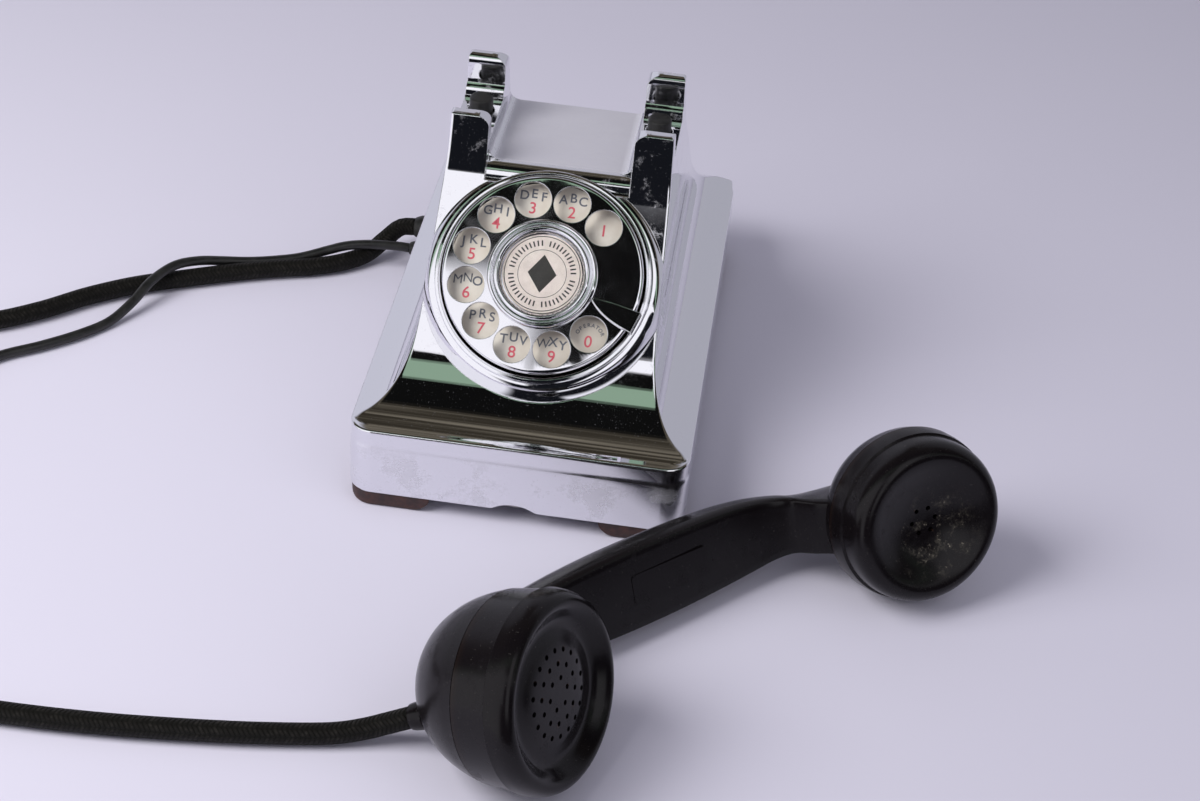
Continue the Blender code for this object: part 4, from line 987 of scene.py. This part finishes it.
def make_card():
    """The middle of the dial: chrome ring, paper card with a plain printed border, window."""
    ring = smooth_profile([(20.6, 0.35), (20.4, 1.6), (19.6, 2.3), (18.9, 2.0), (18.6, 1.5),
                           (18.2, 1.9), (17.6, 3.0), (16.6, 3.3), (15.6, 2.2), (15.3, 1.4),
                           (15.3, 0.4)], 0.35)
    dial_ring("card_ring", ring, DIAL_CHROME, "dial_rotor", "chrome")
    card = [(0, CARD_TOP), (CARD_RADIUS, CARD_TOP), (CARD_RADIUS, 0.5), (0, 0.5)]
    dial_ring("number_card", card, CARD_PAPER, "dial_rotor", "card", ring=False)
    window = [(0, 1.75), (8.0, 1.66), (14.0, 1.5), (CARD_RADIUS, 1.25), (CARD_RADIUS, 1.1),
              (0, 1.1)]
    dial_ring("card_window", window, WINDOW, "dial_rotor", "window", ring=False)

    low = CARD_TOP + 0.01
    high = CARD_TOP + 0.06
    marks = []
    for inner, outer in ((13.9, 14.2), (8.9, 9.1)):
        line = [(inner, low), (outer, low), (outer, high), (inner, high)]
        marks.append(turned("card_line", line, DIAL, 96, True))
    dash = [(-0.28, 10.5), (0.28, 10.5), (0.28, 12.6), (-0.28, 12.6)]
    for i in range(48):
        if i % 12 == 0:
            continue
        turn = Matrix.Rotation(radians(7.5 * i), 4, "Z")
        marks.append(prism("card_dash", dash, low, high, DIAL @ turn))
    lozenge = [(0, 7.2), (5.4, 0), (0, -7.2), (-5.4, 0)]
    marks.append(prism("card_lozenge", lozenge, low, high, DIAL))
    printed = joined("card_printing", marks)
    ride(new_object("card_printing", printed, None, CARD_INK), "dial_rotor", "card")


def make_dial():
    case = [(38.2, -4.2), (38.4, -3.5), (39.2, -3.2), (40.2, -3.6), (40.55, -4.2), (40.55, -5.85),
            (39.4, -5.85), (39.2, -27.0), (37.8, -27.0)]
    dial_ring("dial_case", case, DIAL_CHROME, "base", "chrome")
    make_number_plate()
    make_finger_wheel()
    make_finger_stop()
    make_card()


# ---- handset --------------------------------------------------------------------------
HANDLE_STATIONS = (
    # along, half width, inner face, back
    (-6.0, 8.0, -30.0, -52.0), (12.0, 12.2, -41.0, -61.0), (30.0, 13.6, -43.9, -65.5),
    (55.0, 14.7, -44.4, -67.5), (80.0, 14.7, -44.9, -67.5), (100.0, 14.0, -45.6, -66.5),
    (113.0, 13.0, -45.6, -64.5), (122.0, 11.7, -44.6, -62.5), (129.0, 10.6, -41.0, -60.5),
    (134.0, 10.2, -32.0, -58.5), (142.0, 10.0, -24.0, -56.0), (156.0, 9.0, -28.0, -52.0),
)


def smooth_stations(stations, steps=6):
    """Catmull-Rom stations between the handle's own."""
    ends = [stations[0], *stations, stations[-1]]
    fine = []
    for before, start, stop, after in zip(ends, ends[1:], ends[2:], ends[3:]):
        for i in range(steps):
            t = i / steps
            fine.append(tuple(0.5 * (2 * b + (c - a) * t + (2 * a - 5 * b + 4 * c - d) * t * t
                                     + (3 * b - a - 3 * c + d) * t ** 3)
                              for a, b, c, d in zip(before, start, stop, after)))
    fine.append(stations[-1])
    return fine


def handle_ring(half_width, inner, back):
    """Flat inner face, crisp edges, slightly swelling sides and a rounded back."""
    deep = inner - back
    half = [(half_width - 3.0, inner), (half_width - 1.0, inner - 0.05),
            (half_width - 0.35, inner - 0.3), (half_width, inner - 0.9)]
    for i in range(1, 17):
        share = 0.08 + 0.91 * i / 17
        half.append((half_width * 1.05 * (1 - share ** 2.6) ** 0.5, inner - deep * share))
    return [(0.0, inner), *half, (0.0, back), *[(-y, z) for y, z in reversed(half)]]


def handle_solid():
    outlines = []
    for along, half_width, inner, back in smooth_stations(HANDLE_STATIONS):
        outlines.append([(along, y, z) for y, z in handle_ring(half_width, inner, back)])
    return loft("handset_handle", outlines, HANDSET)


MOUTH_BOWL = ((31.9, -21.05), (30.0, -27.5), (26.8, -34.5), (21.5, -41.5), (14.0, -47.0),
              (6.0, -49.5), (0, -50.0))
EAR_BOWL = ((31.5, -19.45), (29.8, -25.0), (26.0, -31.5), (20.5, -38.0), (13.0, -43.0),
            (6.0, -45.5), (0, -46.0))


def bowl(name, outer, neck, neck_top, frame_of):
    back = smooth_profile(outer, 1.2)
    back[-1] = (0, back[-1][1])
    return turned(name, [(0, neck_top), (neck, neck_top), (neck, outer[0][1]), *back], frame_of)


def make_handle():
    mouth_hollow = turned("mouth_hollow", [(0, 0), (25.6, 0), (25.6, -22), (22.5, -34), (12, -42),
                                           (0, -44)], MOUTH, 64)
    ear_hollow = turned("ear_hollow", [(0, 0), (25.2, 0), (25.2, -22), (21, -33), (10, -39),
                                       (0, -40)], EAR, 64)
    sleeve_hole = turned("sleeve_hole", [(0, 6), (4.0, 6), (4.0, -14), (0, -14)], SLEEVE, 32)
    mesh = carve(handle_solid(), [
        ("UNION", bowl("mouth_bowl", MOUTH_BOWL, 28.2, -15.0, MOUTH)),
        ("UNION", bowl("ear_bowl", EAR_BOWL, 27.7, -14.0, EAR)),
        ("DIFFERENCE", mouth_hollow), ("DIFFERENCE", ear_hollow), ("DIFFERENCE", sleeve_hole)])
    shade(mesh, 32)
    ride(new_object("handset_body", mesh, None, PHENOLIC), "handset", "phenolic",
         "handset_handle")

    outline = []
    for x, y, start in ((91, -4.2, -90), (91, 4.2, 0), (61, 4.2, 90), (61, -4.2, 180)):
        outline += arc((x, y), 1.4, start, start + 90, 6)
    blank = prism("blank_plate", outline, -44.9, -44.25, HANDSET)
    plain = make_phenolic("plain_phenolic", edge_highlight=0.0)
    ride(new_object("blank_plate", blank, None, plain), "handset", "phenolic")


def cap(name, outer, inner, frame_of, holes, finish):
    shell = turned(name, [*smooth_profile(outer, 0.8), *inner], frame_of)
    drills = []
    for x, y in holes:
        spot = frame_of @ Matrix.Translation((x * MM, y * MM, 0))
        drills.append(turned("drill", [(0, 5), (0.9, 5), (0.9, -13.5), (0, -13.5)], spot, 14))
    mesh = carve(shell, [("DIFFERENCE", joined("drills", drills))])
    shade(mesh, 34)
    ride(new_object(name + "_piece", mesh, None, finish), "handset", "phenolic", name)


def hole_ring(count, radius, turn=0.0):
    places = []
    for i in range(count):
        angle = radians(turn + 360 * i / count)
        places.append((radius * cos(angle), radius * sin(angle)))
    return places


SLEEVE = axes_matrix((0, 0, 1), (-0.90, 0.06, -0.42), (-8.6, -219.6, 14.6))


def make_caps():
    mouth_outer = [(0, -0.9), (8, -1.0), (14.5, -1.4), (19.0, -2.5), (22.0, -3.0), (24.2, -2.3),
                   (26.0, -0.7), (27.8, 0.8), (29.6, 1.4), (31.8, 0.2), (33.2, -3.0), (33.7, -7.3)]
    mouth_inner = [(33.1, -7.8), (32.7, -12.0), (32.0, -20.75), (28.8, -20.75), (28.8, -6.0),
                   (24, -6.2), (19, -5.8), (14, -4.2), (0, -3.6)]
    holes = hole_ring(18, 14.3) + hole_ring(12, 9.8, 15) + hole_ring(6, 5.2)
    cap("transmitter_cap", mouth_outer, mouth_inner, MOUTH, holes, PHENOLIC)

    ear_outer = [(0, -7.4), (5, -7.1), (10, -6.2), (15, -4.6), (19, -2.9), (22, -1.6),
                 (24.5, -0.9), (26.6, -1.2), (28.6, -2.9), (29.9, -6.0), (30.4, -11.8)]
    ear_inner = [(31.1, -12.3), (31.5, -15.0), (31.6, -19.15), (28.3, -19.15), (28.3, -12.5),
                 (24.5, -8.0), (16, -9.6), (0, -11.0)]
    dusty = make_phenolic("dusty_phenolic", tuple(EAR @ Vector((0.003, -0.006, -0.008))))
    cap("receiver_cap", ear_outer, ear_inner, EAR, hole_ring(6, 4.8), dusty)

    sleeve = [(0, 7.0), (3.9, 7.0), (4.4, 6.7), (4.7, 5.4), (4.8, 3.6), (4.8, 1.9), (3.7, 1.9),
              (3.7, -5), (0, -5)]
    mesh = turned("handset_cord_sleeve", sleeve, SLEEVE, 40)
    shade(mesh, 35)
    ride(new_object("cord_sleeve_piece", mesh, None, PHENOLIC), "handset", "phenolic",
         "handset_cord_sleeve")


# ---- small parts ----------------------------------------------------------------------
def make_plungers():
    for hand, side in (("left", -1), ("right", 1)):
        profile = [(0, 117.6), (3.6, 117.6), (4.1, 117.45), (4.4, 117.1), (4.5, 116.6),
                   (4.5, 103.5), (2.0, 103.0), (2.0, 83.9), (0, 83.9)]
        name = f"plunger_{hand}"
        turned_piece(name, profile, plunger_axis(side), 48, PLASTIC, name, "phenolic")


def make_grommets():
    for name, place, profile in (
            ("cord_grommet", (-66.3, 68.0, 13.0),
             [(0, 5.5), (3.5, 5.5), (4.1, 5.2), (4.7, 4.0), (5.2, 2.6), (5.2, -5), (0, -5)]),
            ("line_grommet", (-66.3, 54.0, 11.0),
             [(0, 5.0), (2.2, 5.0), (2.7, 4.6), (3.1, 3.6), (3.4, 2.6), (3.4, -5), (0, -5)])):
        turned_piece(name, profile, sideways(*place), 36, PLASTIC, "base", "dark_plastic")


def make_feet():
    """Pads under the corners; the ends along the skirt sweep up like a boat's."""
    for name in ("foot_front_left", "foot_front_right", "foot_rear_left", "foot_rear_right"):
        low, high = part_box(name)
        low = (low - ORIGIN) / MM
        high = (high - ORIGIN) / MM
        left = low.x < 0
        front = low.y < 0
        reach_x = high.x - low.x
        reach_y = high.y - low.y
        corner = Vector((low.x if left else high.x, low.y if front else high.y))
        inward = Vector((1 if left else -1, 1 if front else -1))
        rings = []
        heights = []
        for z, lift, inset in ((0.0, 7.0, 1.1), (0.35, 5.2, 0.5), (1.2, 3.4, 0.2), (2.4, 1.9, 0.1),
                               (3.8, 0.7, 0.05), (5.2, 0.15, 0.05), (FOOT_TOP - 0.3, 0.0, 0.05)):
            outline = [(inset, reach_y - lift), *arc((8.5, 8.5), 8.5 - inset, 180, 270, 8),
                       (reach_x - lift, inset), (reach_x - lift - 1.0, 3.0 + inset),
                       (3.0 + inset, reach_y - lift - 1.0)]
            ring = [(corner.x + inward.x * x, corner.y + inward.y * y) for x, y in outline]
            rings.append(ring if inward.x * inward.y > 0 else list(reversed(ring)))
            heights.append(z)
        mesh = stack(name, rings, heights)
        shade(mesh, 35)
        ride(new_object(name + "_piece", mesh, None, LEATHER), "base", "foot_leather", name)


CARRIED_FINISH = {"steel": STEEL, "brass": BRASS, "winding": COPPER, "foot_leather": LEATHER,
                  "dark_plastic": PLASTIC, "phenolic": PHENOLIC, "chrome": DIAL_CHROME,
                  "enamel": ENAMEL, "card": CARD_PAPER, "window": WINDOW, "braid": BRAID,
                  "line_rubber": RUBBER}


def finish_carried_nodes():
    """CAD nodes that keep showing get the material of their slot."""
    slots = {row["node"]: row["material_slot"] for row in frame["record"]["subparts"]}
    for name, obj in NODES.items():
        obj.data.materials.clear()
        obj.data.materials.append(CARRIED_FINISH[slots[name]])


# ---- stage ----------------------------------------------------------------------------
def sky_direction(tree):
    """How far over and how far right a direction lies, in degrees, and a place for streaks."""
    way = add(tree, "ShaderNodeSeparateXYZ",
              {"Vector": add(tree, "ShaderNodeTexCoord").outputs["Generated"]}).outputs
    toward_viewer = maths(tree, "MULTIPLY", way["Y"], -1.0)
    over = maths(tree, "ARCTAN2", way["Z"], toward_viewer)
    right = maths(tree, "ARCSINE", way["X"])
    streaks = add(tree, "ShaderNodeCombineXYZ", {"X": product(tree, over, 6.0),
                                                 "Y": product(tree, right, 1.2)})
    return product(tree, over, 180 / pi), product(tree, right, 180 / pi), streaks.outputs[0]


LOWEST = -10.0            # the sky's bands run from below the desk in front to level behind
SKY_SPAN = 190.0


def bands(tree, over, stops):
    """Bands of colour by angle, from the desk in front, overhead, to the desk behind."""
    share = maths(tree, "DIVIDE", maths(tree, "ADD", over, -LOWEST), SKY_SPAN)
    ramp = add(tree, "ShaderNodeValToRGB", {"Fac": share})
    first, last = ramp.color_ramp.elements
    first.position = (stops[0][0] - LOWEST) / SKY_SPAN
    first.color = (*stops[0][1], 1.0)
    last.position = (stops[-1][0] - LOWEST) / SKY_SPAN
    last.color = (*stops[-1][1], 1.0)
    for angle, colour in stops[1:-1]:
        element = ramp.color_ramp.elements.new((angle - LOWEST) / SKY_SPAN)
        element.color = (*colour, 1.0)
    return ramp.outputs["Color"]


INK = (0.010, 0.011, 0.015)
SOOT = (0.006, 0.006, 0.006)
WHITE = (1.36, 1.35, 1.42)
GREEN = (0.36, 0.52, 0.38)
BROWN_DARK = (0.045, 0.038, 0.028)
LAVENDER = (0.62, 0.61, 0.70)


def make_sky():
    world = bpy.data.worlds.new("room")
    bpy.context.scene.world = world
    world.use_nodes = True
    tree = world.node_tree
    over, right, streak_place = sky_direction(tree)
    streaks = span(tree, noise(tree, streak_place, 2.2, 5.0, 0.6), 0.42, 0.68)
    brown = blend_colour(tree, streaks, BROWN_DARK, (0.26, 0.23, 0.18))
    back = [(75.6, SOOT), (98, SOOT), (104, BROWN_DARK), (140, BROWN_DARK), (147, LAVENDER),
            (180, LAVENDER)]
    left_stops = [(-10, INK), (26, INK), (28, WHITE), (57.8, WHITE), (58.2, SOOT), (62.6, SOOT),
                  (63.2, GREEN), (75, GREEN), *back]
    right_stops = [(-10, INK), (47, INK), (48.4, WHITE), (54, WHITE), (55, SOOT), (63.0, SOOT),
                   (63.8, GREEN), (74, GREEN), *back]
    left = bands(tree, over, left_stops)
    centre = bands(tree, over, right_stops)
    sky = blend_colour(tree, span(tree, right, -6.4, -5.2), left, centre)
    in_brown = product(tree, span(tree, over, 99, 106), span(tree, over, 144, 139))
    sky = blend_colour(tree, in_brown, sky, brown)
    right_side = product(tree, span(tree, right, 10, 14), span(tree, right, 46, 38))
    window_height = product(tree, span(tree, over, 10, 20), span(tree, over, 78, 70))
    sky = blend_colour(tree, product(tree, right_side, window_height), sky, WHITE)
    left_wall = product(tree, span(tree, right, -12, -20), span(tree, over, 70, 60))
    sky = blend_colour(tree, left_wall, sky, WHITE)
    from_middle = maths(tree, "ABSOLUTE", maths(tree, "ADD", right, 4.6))
    flank = product(tree, span(tree, from_middle, 6, 11), span(tree, over, 118, 134))
    flank = maths(tree, "MAXIMUM", flank, maths(tree, "LESS_THAN", over, -88.0))
    flank_colour = blend_colour(tree, span(tree, right, -12, 4), (0.80, 0.80, 0.92),
                                (0.56, 0.56, 0.64))
    sky = blend_colour(tree, flank, sky, flank_colour)
    glossy = add(tree, "ShaderNodeLightPath").outputs["Is Glossy Ray"]
    seen = blend_colour(tree, glossy, (0.335, 0.33, 0.375), sky)
    background = tree.nodes["Background"]
    tree.links.new(seen, background.inputs["Color"])
    background.inputs["Strength"].default_value = 0.78


def make_lamp(name, place, target, size, power, colour):
    """A soft lamp that lights the object but isn't itself mirrored in the plating."""
    data = bpy.data.lights.new(name, "AREA")
    data.size = size
    data.energy = power
    data.color = colour
    lamp = bpy.data.objects.new(name, data)
    bpy.context.scene.collection.objects.link(lamp)
    lamp.location = desk(*place)
    aim = desk(*target) - desk(*place)
    lamp.rotation_euler = aim.to_track_quat("-Z", "Y").to_euler()
    lamp.visible_glossy = False
    return lamp


def make_floor():
    made, tree, shader, where = new_material("pale_desk")
    mottle = noise(tree, where, 3.0, 3.0)
    shader.inputs["Roughness"].default_value = 0.42
    shader.inputs["Specular IOR Level"].default_value = 0.25
    feed(tree, shader, Base_Color=blend_colour(tree, mottle, (0.70, 0.68, 0.80),
                                               (0.74, 0.72, 0.83)))
    front = desk(0, -420, 0).y / MM
    right = desk(430, 0, 0).x / MM
    reach = 4000.0
    drop = Matrix.Translation((0, 0, -0.0002))
    tops = []
    for name, left_x, right_x, near_y, far_y in (
            ("desk_top", -reach, right, front, reach), ("desk_right", right, reach, front, reach),
            ("desk_front", -reach, reach, -reach, front)):
        outline = [(left_x, near_y), (right_x, near_y), (right_x, far_y), (left_x, far_y)]
        top = new_object(name, prism(name, outline, -1.0, 0.0, drop), None, made)
        top.visible_glossy = name == "desk_top"
        tops.append(top)
    return tops


def make_stage():
    make_sky()
    staged = [*make_floor(),
              make_lamp("key", (-640, -420, 800), (0, -60, 40), 0.62, 9.9, (1.0, 0.985, 0.98)),
              make_lamp("fill", (700, -500, 700), (40, -100, 40), 0.9, 2.0, (0.95, 0.96, 1.0))]
    view = bpy.context.scene.view_settings
    view.view_transform = "Standard"
    view.look = "None"


finish_carried_nodes()
make_housing()
make_dial()
make_handle()
make_caps()
make_plungers()
make_grommets()
make_feet()
make_cords()
make_stage()
